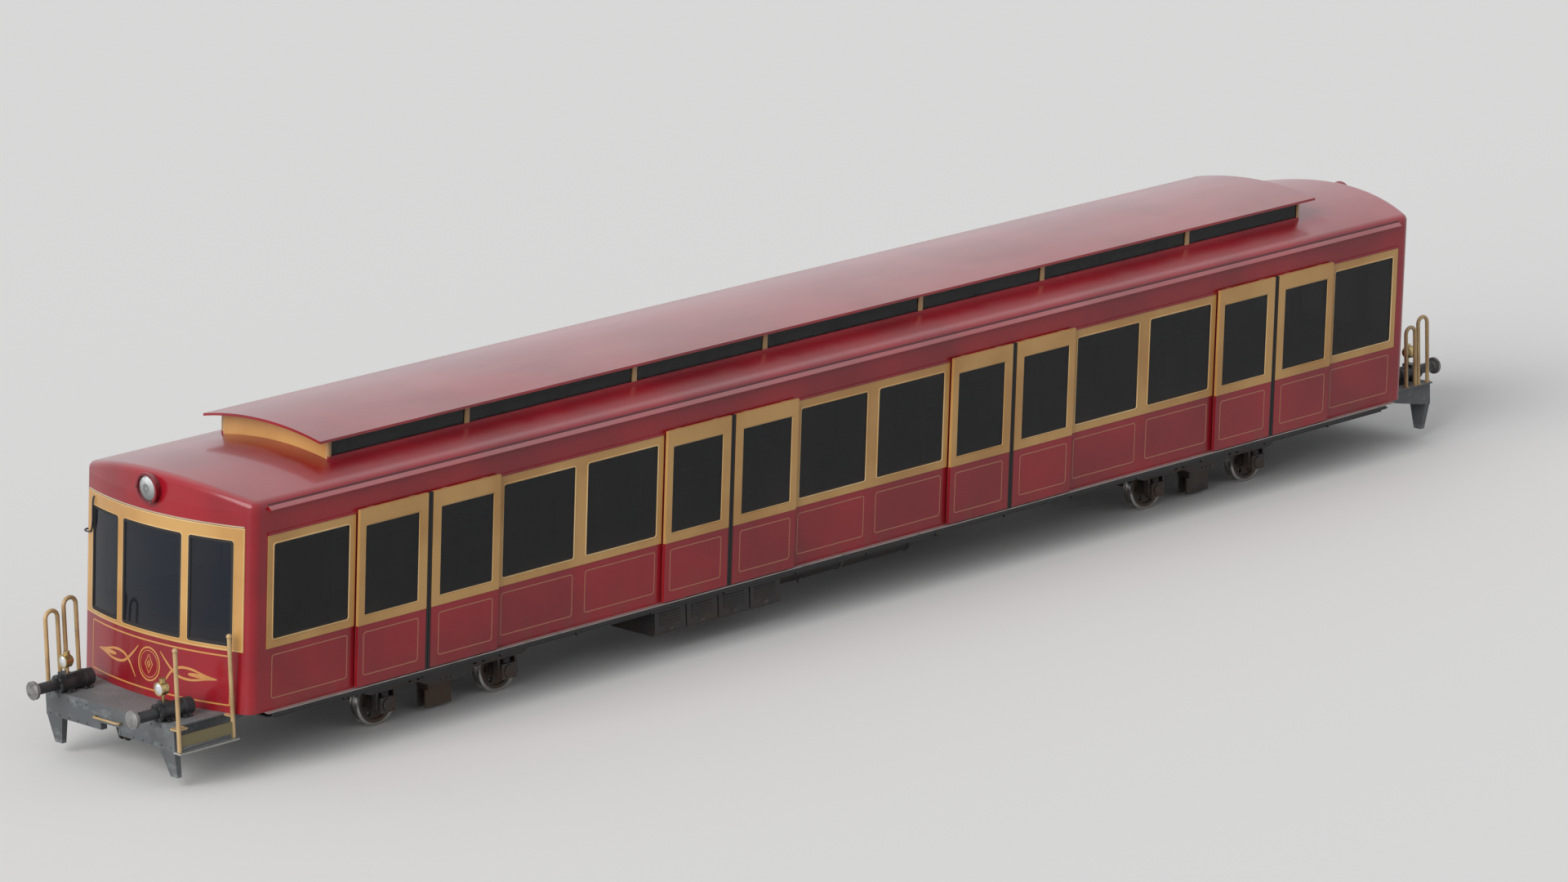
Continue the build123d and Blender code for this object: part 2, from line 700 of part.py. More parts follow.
def headlight_x(end):
    """Where a headlight's rim is along X; the whole end leans uphill."""
    return end * (half_length + end_bow + headlight_reach) + lean_at(headlight_z)


def headlight(end):
    """The headlight's housing, its back cut to the leaning, bowed end."""
    with BuildPart() as back:
        with BuildSketch(plan_at(header_z)):
            add(end_face(end, -fit, joint_x))
        extrude_leaning(crown_z - header_z)
    with BuildPart() as housing:
        with BuildSketch(Plane.XZ):
            with BuildLine():
                rim, back_x = headlight_x(end), headlight_x(end) - end * headlight_depth
                floor_x = rim - end * headlight_recess
                Polyline(
                    (back_x, headlight_z),
                    (back_x, headlight_z + headlight_radius - 3 * headlight_recess),
                    (floor_x, headlight_z + headlight_radius),
                    (rim, headlight_z + headlight_radius),
                    (rim, headlight_z + headlight_lens_radius + fit),
                    (floor_x, headlight_z + headlight_lens_radius + fit),
                    (floor_x, headlight_z),
                    close=True,
                )
            make_face()
        revolve(axis=Axis((0, 0, headlight_z), (1, 0, 0)))
        add(back.part, mode=Mode.SUBTRACT)
    return housing.part


downhill_piece, uphill_piece = headlight(-1), headlight(1)
with BuildPart() as marker_lamps:
    with BuildSketch(Plane.XZ.offset(-lamp_y)):
        with BuildLine():
            Polyline(
                (lamp_x - marker_length / 2, lamp_z),
                (lamp_x - marker_length / 2, lamp_z + marker_radius * 0.7),
                (lamp_x - marker_length / 4, lamp_z + marker_radius),
                (lamp_x + marker_length / 2, lamp_z + marker_radius),
                (lamp_x + marker_length / 2, lamp_z),
                close=True,
            )
        make_face()
    revolve(axis=Axis((0, lamp_y, lamp_z), (1, 0, 0)))
    with BuildSketch(Plane.XY.offset(saddle_top)):
        with Locations((lamp_x, lamp_y)):
            Circle(stem_radius)
    extrude(amount=lamp_z - saddle_top)
    with BuildSketch(Plane.XY.offset(lamp_z)):
        with Locations((lamp_x, lamp_y)):
            Circle(marker_radius / 2)
    extrude(amount=marker_radius + marker_cap)
    mirror(about=Plane.XZ)
    mirror(about=Plane.YZ)
with BuildPart() as lamp_housings:
    add(marker_lamps.part)
    add(downhill_piece)
    add(uphill_piece)
finish(lamp_housings, "lamp_housings")

with BuildPart() as lamp_lenses:
    for end in (-1, 1):
        marker_x = end * (lamp_x + marker_length / 2)
        for x, y, z, radius, dome in (
            (marker_x, lamp_y, lamp_z, marker_lens_radius, marker_dome),
            (marker_x, -lamp_y, lamp_z, marker_lens_radius, marker_dome),
            (
                headlight_x(end) - end * headlight_recess,
                0,
                headlight_z,
                headlight_lens_radius,
                headlight_dome,
            ),
        ):
            tip = x + end * dome
            with BuildSketch(Plane.XZ.offset(-y)):
                with BuildLine():
                    arc = domed(x + end * dome / 4, tip, z, radius)
                    Polyline((tip, z), (x, z), (x, z + radius), arc[0])
                    ThreePointArc(*arc)
                make_face()
            revolve(axis=Axis((0, y, z), (1, 0, 0)))
finish(lamp_lenses, "lamp_lenses")

# Handrails: two hand loops on one side of each platform, a pair of poles with a step on the other
foot_radius, foot_thickness = 40.0, 10.0
# columns: end, how far the loop's middle is behind the beam's front, its height above the deck
loop_table = [(-1, 124.0, 860.0), (-1, 384.0, 958.0), (1, 354.0, 760.0), (1, 124.0, 855.0)]


def hand_loop(x, y, top):
    """A tube bent into a narrow arch that stands on the deck."""
    with BuildPart() as loop_piece:
        with BuildLine(Plane.XZ.offset(-y)) as path:
            Line((x - loop_half, skirt_z), (x - loop_half, top - loop_half))
            ThreePointArc((x - loop_half, top - loop_half), (x, top), (x + loop_half, top - loop_half))
            Line((x + loop_half, top - loop_half), (x + loop_half, skirt_z))
        with BuildSketch(Plane.XY.offset(skirt_z)):
            with Locations((x - loop_half, y)):
                Circle(tube)
        sweep(path=path.line)
        with Locations((x - loop_half, y, skirt_z), (x + loop_half, y, skirt_z)):
            Cylinder(foot_radius, foot_thickness, align=(Align.CENTER, Align.CENTER, Align.MIN))
    return loop_piece.part


def ladder_poles():
    """The uphill pair of poles with its painted riser and the lugs that hold it to the deck."""
    with BuildPart() as poles:
        for x in ladder_x:
            with BuildSketch(Plane.XY.offset(step_z)):
                with Locations((x, ladder_y)):
                    Circle(tube)
            extrude(amount=ladder_top - step_z)
            with Locations((x, ladder_y, ladder_top)):
                Sphere(tube * 1.3)
            with BuildSketch(Plane.XY.offset(deck_bottom)):
                lug = (x - 5 * tube, x + tube) if x > platform_x else (x - tube, x + tube)
                upright_panel(*lug, deck_half, ladder_y)
            extrude(amount=deck_thickness)
        with BuildSketch(Plane.XZ.offset(-ladder_y)):
            upright_panel(ladder_x[1], ladder_x[0], step_z + 50, step_z + 180)
        extrude(amount=tube / 4, both=True)
    return poles.part


loops = [
    hand_loop(end * (platform_x - back), -end * loop_y, skirt_z + rise)
    for end, back, rise in loop_table
]
ladder = ladder_poles()
handle_reach, handle_half, handle_radius, handle_z = 60.0, 215.0, 14.0, pocket_top + 60.0
with BuildPart() as pocket_handle:
    with BuildLine(Plane.XY.offset(handle_z)) as path:
        FilletPolyline(
            (-platform_x, -handle_half),
            (-platform_x - handle_reach, -handle_half),
            (-platform_x - handle_reach, handle_half),
            (-platform_x, handle_half),
            radius=handle_reach / 2,
        )
    with BuildSketch(Plane.YZ.offset(-platform_x)):
        with Locations((-handle_half, handle_z)):
            Circle(handle_radius)
    sweep(path=path.line)
with BuildPart() as handrails:
    for loop_piece in loops:
        add(loop_piece)
    add(ladder)
    add(ladder, rotation=(0, 0, 180))
    add(pocket_handle.part)
finish(handrails, "handrails")

step_thickness, step_half = 20.0, 60.0
with BuildPart() as steps:
    with BuildSketch(Plane.XY.offset(step_z - step_thickness)):
        upright_panel(
            ladder_x[1] - 1.5 * tube,
            ladder_x[0] + 1.5 * tube,
            ladder_y - step_half,
            ladder_y + step_half,
        )
    extrude(amount=step_thickness)
    add(steps.part, rotation=(0, 0, 180))
finish(steps, "steps")

# Pinned couplings: a light tow coupler in the downhill pocket, the heavy haul-rope anchor uphill


def clevis(x, direction, arm, top, eye, bore, thickness, gap):
    """Two ears hanging from top, rounded round the pin bore at (x, eye), with a crown plate above."""
    with BuildPart() as piece:
        with BuildSketch(Plane.XZ):
            Polygon(
                (x - direction * arm, top),
                (x + direction * arm, top),
                (x + direction * 2.2 * bore, eye),
                (x - direction * 2.2 * bore, eye),
                align=None,
            )
            with Locations((x, eye)):
                Circle(2.2 * bore)
                Circle(bore, mode=Mode.SUBTRACT)
        extrude(amount=gap / 2 + thickness, both=True)
        with BuildSketch(Plane.XZ):
            upright_panel(x - 2 * arm, x + 2 * arm, eye - 3 * bore, top - thickness)
        extrude(amount=gap / 2, both=True, mode=Mode.SUBTRACT)
    return piece.part


tow_bore, tow_ear, tow_gap, tow_arm = 25.0, 25.0, 70.0, 110.0
tow_x, tow_eye_z, tow_pad = beam_back_x - tow_arm - 20.0, centre_sill_z - 220.0, 40.0
sill_outer = centre_sill_y + sill_width / 2
tow_piece = clevis(-tow_x, 1, tow_arm, centre_sill_z, tow_eye_z, tow_bore, tow_ear, tow_gap)
with BuildPart() as tow_coupler:
    add(tow_piece)
    with BuildSketch(Plane.YZ.offset(-tow_x)):
        upright_panel(-sill_outer, sill_outer, centre_sill_z - tow_pad, centre_sill_z)
    extrude(amount=tow_arm / 2, both=True)
finish(tow_coupler, "tow_coupler")

anchor_bore, anchor_ear, anchor_gap, anchor_arm = 40.0, 45.0, 110.0, 260.0
anchor_x, anchor_eye_z, anchor_pad = platform_x - 600.0, centre_sill_z - 260.0, 60.0
anchor_piece = clevis(
    anchor_x, 1, anchor_arm, centre_sill_z, anchor_eye_z, anchor_bore, anchor_ear, anchor_gap
)
with BuildPart() as rope_anchor:
    add(anchor_piece)
    with BuildSketch(Plane.YZ.offset(anchor_x)):
        upright_panel(-sill_outer, sill_outer, centre_sill_z - anchor_pad, centre_sill_z)
    extrude(amount=anchor_arm / 2, both=True)
finish(rope_anchor, "rope_anchor")

# Inside: slatted benches along the sides, stanchions at the doorways, a desk at each end
bench_back_y, bench_depth = inner_y - 8.0, 442.0
bench_front_y = bench_back_y - bench_depth
bench_clear = 60.0
seat_z, bench_rail, slat, slat_gap = floor_top + 415.0, 40.0, 22.0, 16.0
seat_slats, back_slats, back_slat_width, bench_round = 5, 3, 60.0, 15.0
end_bench_length = 1010.0
bench_spans = [(a + bench_clear, b - bench_clear) for a, b in side_bays[1:-1]]
bench_spans += [(side_bays[0][1] - bench_clear - end_bench_length, side_bays[0][1] - bench_clear)]
bench_spans += [(side_bays[-1][0] + bench_clear, side_bays[-1][0] + bench_clear + end_bench_length)]
back_face_y = bench_back_y - 46.0
seat_pitch = (back_face_y - bench_front_y) / seat_slats
with BuildPart() as benches:
    with BuildSketch(Plane.YZ) as bench_profile:
        Polygon(
            (-bench_back_y, floor_top),
            (-bench_back_y, glass_z),
            (-back_face_y, glass_z),
            (-back_face_y, seat_z),
            (-bench_front_y, seat_z),
            (-bench_front_y, seat_z - bench_rail),
            (-back_face_y + bench_rail, seat_z - 2 * bench_rail),
            (-back_face_y, floor_top),
            align=None,
        )
        fillet(bench_profile.vertices().group_by(Axis.Y)[-1], radius=bench_round)
    bench_end = extrude(amount=bench_rail / 2, both=True, mode=Mode.PRIVATE)
    for x0, x1 in bench_spans:
        leg_marks = (x0 + bench_rail, (x0 + x1) / 2, x1 - bench_rail)
        with Locations(*[(x + lean_at(floor_top), 0, 0) for x in leg_marks]):
            add(bench_end)
        with BuildSketch(Plane.XY.offset(seat_z)):
            for i in range(seat_slats):
                middle = (x0 + x1) / 2 + lean_at(floor_top)
                with Locations((middle, -bench_front_y - (i + 0.5) * seat_pitch)):
                    Rectangle(x1 - x0, seat_pitch - slat_gap)
        extrude(amount=slat)
        with BuildSketch(Plane.XZ.offset(back_face_y - slat)):
            for i in range(back_slats):
                middle = (x0 + x1) / 2 + lean_at(floor_top)
                with Locations((middle, glass_z - back_slat_width * (0.6 + 1.5 * i))):
                    Rectangle(x1 - x0, back_slat_width)
        extrude(amount=slat)
    mirror(about=Plane.XZ)
finish(benches, "benches")

pole_radius, pole_y, pole_inset = 18.0, bench_front_y + 34.0, 30.0
pole_top = crown_z - panel - roof_drop(pole_y + pole_radius) - 2.0
pole_marks = [c + s * (doorway_half - pole_inset) for c in door_centres for s in (-1, 1)]
with BuildPart() as grab_poles:
    with BuildSketch(plan_at(floor_top)):
        for x in pole_marks:
            with Locations((x, -pole_y)):
                Circle(pole_radius)
    extrude_leaning(pole_top - floor_top)
    mirror(about=Plane.XZ)
finish(grab_poles, "grab_poles")

desk_half, desk_top = 560.0, floor_top + 600.0
desk_front = bow_at(desk_half) - panel + lean_at(floor_top) - fit
desk_x = (desk_front - 370.0, desk_front)
with BuildPart() as control_desks:
    with BuildSketch(Plane.XZ):
        Polygon(
            (desk_x[1], floor_top),
            (desk_x[1], desk_top),
            (desk_x[1] - 140, desk_top),
            (desk_x[0], desk_top - 110),
            (desk_x[0], desk_top - 260),
            (desk_x[0] + 120, floor_top),
            align=None,
        )
    extrude(amount=desk_half, both=True)
    mirror(about=Plane.YZ)
finish(control_desks, "control_desks")

# Equipment hung under the floor between the bogies
battery_x, brake_x = (-3300.0, -1300.0), (1300.0, 3100.0)
locker_y, locker_z, locker_lid = (520.0, 1240.0), underframe_z - 350.0, 12.0
for name, (x0, x1), side, doors in (("battery_box", battery_x, -1, 4), ("brake_power_pack", brake_x, 1, 3)):
    with BuildPart() as locker:
        with BuildSketch(Plane.YZ.offset(x0)):
            upright_panel(side * locker_y[0], side * locker_y[1], locker_z, underframe_z)
        extrude(amount=x1 - x0)
        door_width = (x1 - x0) / doors
        with BuildSketch(Plane.XZ.offset(-side * locker_y[1])):
            for i in range(doors):
                upright_panel(
                    x0 + i * door_width + locker_lid, x0 + (i + 1) * door_width - locker_lid,
                    locker_z + 2 * locker_lid, underframe_z - 3 * locker_lid,
                )
        extrude(amount=-side * locker_lid)
    finish(locker, name)

# Bogies: outside frames on coil springs, a bolster with the centre plate and king pin
frame_y, frame_width = gauge_centre + 153.0, 80.0
frame_half_length = wheelbase / 2 + 300.0
frame_beam = (axle_z + 150.0, centre_plate_z - 35.0)
axlebox_half, axlebox_z, axlebox_y = 110.0, (axle_z - 90.0, axle_z + 90.0), (frame_y - 5.0, frame_y + 107.0)
horn = 34.0
spring_radius, spring_core, spring_leaves = 58.0, 48.0, 3
cover_radius, cover_thickness = 72.0, 12.0
light_holes, light_hole_radius, frame_round = (420.0, 545.0), 30.0, 28.0
belly_drop = 80.0
bogie_bolster_half, bolster_foot = 170.0, frame_beam[0] - 30.0
bogie_plate_radius = 200.0
axle_marks = (-wheelbase / 2, wheelbase / 2)
with BuildPart() as bogie:
    with BuildSketch(Plane.XZ.offset(-frame_y - frame_width)):
        with BuildLine():
            belly = frame_beam[0] - belly_drop
            FilletPolyline(
                (-frame_half_length, frame_beam[1]),
                (-frame_half_length, frame_beam[0] + frame_round),
                (-frame_half_length + 3 * frame_round, frame_beam[0]),
                (-bogie_bolster_half - 2 * belly_drop - 3 * frame_round, frame_beam[0]),
                (-bogie_bolster_half - belly_drop, belly),
                (bogie_bolster_half + belly_drop, belly),
                (bogie_bolster_half + 2 * belly_drop + 3 * frame_round, frame_beam[0]),
                (frame_half_length - 3 * frame_round, frame_beam[0]),
                (frame_half_length, frame_beam[0] + frame_round),
                (frame_half_length, frame_beam[1]),
                radius=frame_round / 2,
                close=True,
            )
        make_face()
        hole_z = (frame_beam[0] + frame_beam[1]) / 2
        with Locations(*[(s * x, hole_z) for x in light_holes for s in (-1, 1)]):
            Circle(light_hole_radius, mode=Mode.SUBTRACT)
        for x in axle_marks:
            for s in (-1, 1):
                horn_mark = (x + s * (axlebox_half + horn / 2), (frame_beam[0] + axlebox_z[0] + horn) / 2)
                with Locations(horn_mark):
                    Rectangle(horn, frame_beam[0] - axlebox_z[0] - horn)
    extrude(amount=frame_width)
    with BuildSketch(Plane.XZ.offset(-axlebox_y[1])):
        for x in axle_marks:
            with Locations((x, sum(axlebox_z) / 2)):
                Rectangle(2 * axlebox_half, axlebox_z[1] - axlebox_z[0])
    extrude(amount=axlebox_y[1] - axlebox_y[0])
    leaf_height = (frame_beam[0] - axlebox_z[1]) / (2 * spring_leaves + 1)
    with Locations(*[(x, frame_y + frame_width / 2, axlebox_z[1]) for x in axle_marks]):
        Cylinder(spring_core, frame_beam[0] - axlebox_z[1], align=(Align.CENTER, Align.CENTER, Align.MIN))
        with Locations(*[(0, 0, (2 * i + 1) * leaf_height) for i in range(spring_leaves)]):
            Cylinder(spring_radius, leaf_height, align=(Align.CENTER, Align.CENTER, Align.MIN))
    with BuildSketch(Plane.XZ.offset(-axlebox_y[1])):
        for x in axle_marks:
            with Locations((x, axle_z)):
                Circle(cover_radius)
    extrude(amount=-cover_thickness)
    with BuildSketch(Plane.XZ.offset(-axlebox_y[0])):
        for x in axle_marks:
            with Locations((x, axle_z)):
                Circle(journal_radius + fit)
    extrude(amount=-(axlebox_y[1] - axlebox_y[0] - 22), mode=Mode.SUBTRACT)
    mirror(about=Plane.XZ)
    with BuildSketch(Plane.YZ):
        upright_panel(-frame_y, frame_y, bolster_foot, frame_beam[1])
    extrude(amount=bogie_bolster_half, both=True)
    with BuildSketch(Plane.XY.offset(frame_beam[1])):
        Circle(bogie_plate_radius)
    extrude(amount=centre_plate_z - fit - frame_beam[1])
    with BuildSketch(Plane.XY.offset(frame_beam[1])):
        Circle(king_pin_radius)
    extrude(amount=king_pin_top - frame_beam[1])

caliper_half, caliper_z = 95.0, bolster_foot - 150.0
jaw_half, jaw_width, jaw_gap, jaw_z = 190.0, 24.0, 96.0, rail_top + 15.0
with BuildPart() as caliper:
    with BuildSketch(Plane.YZ):
        upright_panel(-gauge_centre - caliper_half, -gauge_centre + caliper_half, caliper_z, bolster_foot)
    extrude(amount=bogie_bolster_half, both=True)
    with BuildSketch(Plane.YZ):
        for side in (-1, 1):
            with Locations((-gauge_centre + side * (jaw_gap + jaw_width) / 2, (jaw_z + caliper_z) / 2)):
                Rectangle(jaw_width, caliper_z - jaw_z)
    extrude(amount=jaw_half, both=True)

# Wheelsets: a wheel with two flanges on the right-hand rail, a wide plain roller on the left one
hub_radius, rim_inner = 100.0, 205.0
hub_half, web_half = 70.0, 20.0
tread_half, flange_width, flange_taper = 37.5, 20.0, 6.0
roller_half = 130.0
web_holes, web_hole_radius = 6, 32.0
shoulder = axlebox_y[0] - 6.0
journal_end = axlebox_y[1] - 26.0
with BuildPart() as wheelset:
    with BuildSketch(Plane.XY):
        with BuildLine():
            flange_radius = wheel_radius + flange_height
            outer, inner = -gauge_centre - tread_half, -gauge_centre + tread_half
            Polyline(
                (0, -journal_end), (journal_radius, -journal_end), (journal_radius, -shoulder),
                (axle_radius, -shoulder), (axle_radius, -gauge_centre - hub_half),
                (hub_radius, -gauge_centre - hub_half), (hub_radius, -gauge_centre - web_half),
                (rim_inner, -gauge_centre - web_half), (rim_inner, outer - flange_width),
                (flange_radius, outer - flange_width), (flange_radius, outer - flange_taper),
                (wheel_radius, outer), (wheel_radius, inner),
                (flange_radius, inner + flange_taper), (flange_radius, inner + flange_width),
                (rim_inner, inner + flange_width), (rim_inner, -gauge_centre + web_half),
                (hub_radius, -gauge_centre + web_half), (hub_radius, -gauge_centre + hub_half),
                (axle_radius, -gauge_centre + hub_half), (axle_radius, gauge_centre - hub_half),
                (hub_radius, gauge_centre - hub_half), (hub_radius, gauge_centre - web_half),
                (rim_inner, gauge_centre - web_half), (rim_inner, gauge_centre - roller_half),
                (wheel_radius, gauge_centre - roller_half), (wheel_radius, gauge_centre + roller_half),
                (rim_inner, gauge_centre + roller_half), (rim_inner, gauge_centre + web_half),
                (hub_radius, gauge_centre + web_half), (hub_radius, gauge_centre + hub_half),
                (axle_radius, gauge_centre + hub_half), (axle_radius, shoulder),
                (journal_radius, shoulder), (journal_radius, journal_end), (0, journal_end),
                close=True,
            )
        make_face()
    revolve(axis=Axis.Y)
    with BuildSketch(Plane.XZ.offset(-gauge_centre - web_half)) as web_openings:
        with PolarLocations((hub_radius + rim_inner) / 2, web_holes):
            Circle(web_hole_radius)
    extrude(amount=2 * web_half, mode=Mode.SUBTRACT)
    roller_web = web_openings.sketch.moved(Location((0, -2 * gauge_centre, 0)))
    extrude(roller_web, amount=2 * web_half, mode=Mode.SUBTRACT)

for end, x in (("downhill", -bogie_x), ("uphill", bogie_x)):
    with BuildPart() as placed:
        with Locations((x, 0, 0)):
            add(bogie.part)
    finish(placed, f"bogie_frame_{end}")
    with BuildPart() as placed:
        with Locations((x, 0, 0)):
            add(caliper.part)
    finish(placed, f"rail_brake_{end}")
for number, x in enumerate([b + a for b in (-bogie_x, bogie_x) for a in axle_marks], start=1):
    with BuildPart() as placed:
        with Locations((x, 0, axle_z)):
            add(wheelset.part)
    finish(placed, f"wheelset_{number}")

# Door leaves: a framed panel with its pane, a rubber edge, and two shoes that ride on the door rail
leaf_step, panel_step, seal_width, seal_inset = 14.0, 4.0, 34.0, 7.0
shoe_offset, shoe_width, shoe_foot = 0.3 * leaf_width, 80.0, door_rail_z[0] - 30.0
shoe_top, shoe_clear = leaf_z[1] - 4.0, 5.0


def door_leaf(centre, toward):
    """A right-hand leaf of the doorway at centre; toward is the way it slides, -1 downhill or 1 uphill."""
    near, far = leaf_gap / 2, leaf_outer
    span = sorted((centre + toward * near, centre + toward * far))
    light = sorted((centre + toward * leaf_glass[0], centre + toward * leaf_glass[1]))
    seal = sorted((centre + toward * near, centre + toward * (near - seal_width)))
    with BuildPart() as leaf:
        with BuildSketch(side_plane(leaf_y)):
            leaning_panel(*span, *leaf_z)
            add(light_outline(*light, glass_z, leaf_glass_top), mode=Mode.SUBTRACT)
        extrude(amount=leaf_thickness)
        with BuildSketch(side_plane(leaf_y)):
            leaning_panel(light[0] - rebate, light[1] + rebate, glass_z - rebate, leaf_glass_top + rebate)
        extrude(amount=leaf_thickness - leaf_step, mode=Mode.SUBTRACT)
        with BuildSketch(side_plane(leaf_y + leaf_thickness)):
            leaning_panel(*span, leaf_z[0], frame_z[0])
        extrude(amount=-panel_step, mode=Mode.SUBTRACT)
        with BuildSketch(side_plane(leaf_y + seal_inset)):
            leaning_panel(*seal, *leaf_z)
        extrude(amount=leaf_thickness - 2 * seal_inset)
        for s in (-1, 1):
            x = (span[0] + span[1]) / 2 + s * shoe_offset + lean_at(shoe_top)
            with BuildSketch(Plane.YZ.offset(x)):
                Polygon(
                    (-leaf_y, shoe_foot),
                    (-leaf_y, shoe_top),
                    (-side_y - shoe_clear, shoe_top),
                    (-side_y - shoe_clear, door_rail_z[1] + fit),
                    (-side_y - door_rail_depth - fit, door_rail_z[1] + fit),
                    (-side_y - door_rail_depth - fit, shoe_foot),
                    align=None,
                )
            extrude(amount=shoe_width / 2, both=True)
        with BuildSketch(side_plane(leaf_y + leaf_thickness - leaf_step - fit - glass)):
            leaning_panel(
                light[0] - rebate + fit,
                light[1] + rebate - fit,
                glass_z - rebate + fit,
                leaf_glass_top + rebate - fit,
            )
        extrude(amount=glass)
    return leaf.part


for number, centre in enumerate(door_centres, start=1):
    for word, toward in (("downhill", -1), ("uphill", 1)):
        right_leaf = door_leaf(centre, toward)
        with BuildPart() as placed:
            add(right_leaf)
        finish(placed, f"right_door_{number}_{word}")
        with BuildPart() as placed:
            mirror(right_leaf, about=Plane.XZ)
        finish(placed, f"left_door_{number}_{word}")
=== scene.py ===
"""Looks of a funicular car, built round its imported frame.

Every new piece is a surface worked out as whole arrays: a function of two parameters on a grid, or a flat
section carried along a path that lies on the car's skin. Lengths are in metres.

The skin has two forms. A side is the plane y = +-SIDE, on which an upright leans: a point at (along, z) lies
at x = along + LEAN * (z - GLASS_Z). A bowed end is an arc of radius BOW_RADIUS in plan, moved the same way:
x = +-(HALF_LENGTH + BOW - BOW_RADIUS + sqrt(BOW_RADIUS ** 2 - y ** 2)) + LEAN * (z - GLASS_Z).
"""
import math

import bmesh
import bpy
import numpy as np
from mathutils import Matrix, Vector


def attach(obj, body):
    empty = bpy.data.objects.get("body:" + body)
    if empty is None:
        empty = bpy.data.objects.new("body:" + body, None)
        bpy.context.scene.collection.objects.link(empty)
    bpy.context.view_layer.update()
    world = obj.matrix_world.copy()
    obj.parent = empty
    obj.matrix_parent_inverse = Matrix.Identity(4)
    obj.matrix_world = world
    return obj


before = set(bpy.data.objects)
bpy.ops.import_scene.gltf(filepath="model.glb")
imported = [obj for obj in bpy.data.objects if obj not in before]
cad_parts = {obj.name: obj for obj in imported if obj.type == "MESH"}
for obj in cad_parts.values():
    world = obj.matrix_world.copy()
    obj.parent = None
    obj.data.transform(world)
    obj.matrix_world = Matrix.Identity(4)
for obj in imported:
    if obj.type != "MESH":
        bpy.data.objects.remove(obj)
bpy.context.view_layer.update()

# The car's own sizes, as the frame has them, its two sides as signs of y and its two ends as signs of x
SIDES, ENDS = (("right", -1), ("left", 1)), (("downhill", -1), ("uphill", 1))
HALF_LENGTH, SIDE, PANEL, BOW = 9.330, 1.442, 0.060, 0.257
BOW_RADIUS = (SIDE**2 + BOW**2) / (2 * BOW)
LEAN, GLASS_Z = 0.08, 1.530
AXLE_Z, SKIRT_Z, SILL_Z = 0.280, 0.740, 0.640
SIDE_GLASS_TOP, LEAF_GLASS_TOP, EAVE_Z, CROWN_Z, CEILING_HALF = 2.574, 2.543, 2.960, 3.250, 1.40
FRAME_FOOT, END_GLASS_Z, END_FRAME_TOP = 1.432, (1.496, 2.614), 2.785
DOOR_PITCH = 4.574
DOORS = [(i - 1.5) * DOOR_PITCH for i in range(4)]
LEAF_INNER, LEAF_LIGHT, LEAF_SEAL_EDGE = 1.467, (0.150, 0.939), 0.038
LEAF_PANE, LEAF_PANEL = (1.4847, 1.4927), 1.503
LIGHT_RADIUS, REBATE = 0.024, 0.012
WINDOW_START, WINDOW_POST, OUTER_LIGHT = 1.124, 0.194, (1.124, 2.190)
CLERESTORY_HALF, CLERESTORY_END, JOINT_X = 0.920, 7.850, 9.140
GUTTER = np.array([(0, 0.049), (0.046, 0.016), (0.052, 0.010), (0.052, 0.003), (0.049, 0), (0, 0)])
PLATFORM_X, BOGIE_X, WHEELBASE, CROSS_PITCH = 10.200, 6.200, 1.800, 1.1435
HEADLIGHT_Z, HEADLIGHT_OUT = 3.060, 0.065
MARKER, BUFFER, DESK_TOP = (10.100, 0.830, 1.090), (0.860, 0.840), (9.360, 1.399)
END_FRAME_HALF, END_FRAME_BEAD = 1.328, (1.432, 2.775)
RISER_X, RISER_TOP = (9.528, 10.242), 0.672
LIGHTS = [(DOORS[0] - OUTER_LIGHT[1], DOORS[0] - OUTER_LIGHT[0])]
for a, b in zip(DOORS, DOORS[1:]):
    LIGHTS += [(a + WINDOW_START, (a + b - WINDOW_POST) / 2), ((a + b + WINDOW_POST) / 2, b - WINDOW_START)]
LIGHTS += [(DOORS[-1] + OUTER_LIGHT[0], DOORS[-1] + OUTER_LIGHT[1])]
END_LIGHTS = [(-1.180, -0.624), (-0.476, 0.476), (0.624, 1.180)]


# Surfaces as whole arrays


def side_skin(out):
    """A point at (along, z) on a side: x = along + LEAN * (z - GLASS_Z), y = out; it faces along Y."""

    def at(along, z):
        place = np.stack([along + LEAN * (z - GLASS_Z), np.full_like(along, out), z], 1)
        return place, np.tile([0.0, math.copysign(1.0, out), 0.0], (len(along), 1))

    return at


def end_skin(end, out=0.0):
    """A point at (y, z) on the bowed end: the plan arc moved by LEAN * (z - GLASS_Z), and out beyond it."""

    def at(y, z):
        depth = end * np.sqrt(BOW_RADIUS**2 - y**2)
        x = end * (HALF_LENGTH + BOW - BOW_RADIUS) + depth + LEAN * (z - GLASS_Z)
        facing = np.stack([depth, y, -LEAN * depth], 1)
        facing /= np.linalg.norm(facing, axis=1)[:, None]
        return np.stack([x, y, z], 1) + out * facing, facing

    return at


def rounded_box(a0, a1, z0, z1, radius, corner=5, step=9.0):
    """A closed outline: quarter circles of radius about four inset corners, and edges cut at every step."""
    turn = np.linspace(0, math.pi / 2, corner)[None, :] + np.arange(4)[:, None] * math.pi / 2
    middle_a = np.array([a1 - radius, a0 + radius, a0 + radius, a1 - radius])[:, None]
    middle_z = np.array([z1 - radius, z1 - radius, z0 + radius, z0 + radius])[:, None]
    points = np.stack([middle_a + radius * np.cos(turn), middle_z + radius * np.sin(turn)], 2).reshape(-1, 2)
    closed = np.concatenate([points, points[:1]])
    run = np.concatenate([[0.0], np.cumsum(np.linalg.norm(np.diff(closed, axis=0), axis=1))])
    marks = np.unique(np.concatenate([run[:-1], np.arange(0, run[-1] - step / 4, step)]).round(5))
    return np.stack([np.interp(marks, run, closed[:, 0]), np.interp(marks, run, closed[:, 1])], 1)


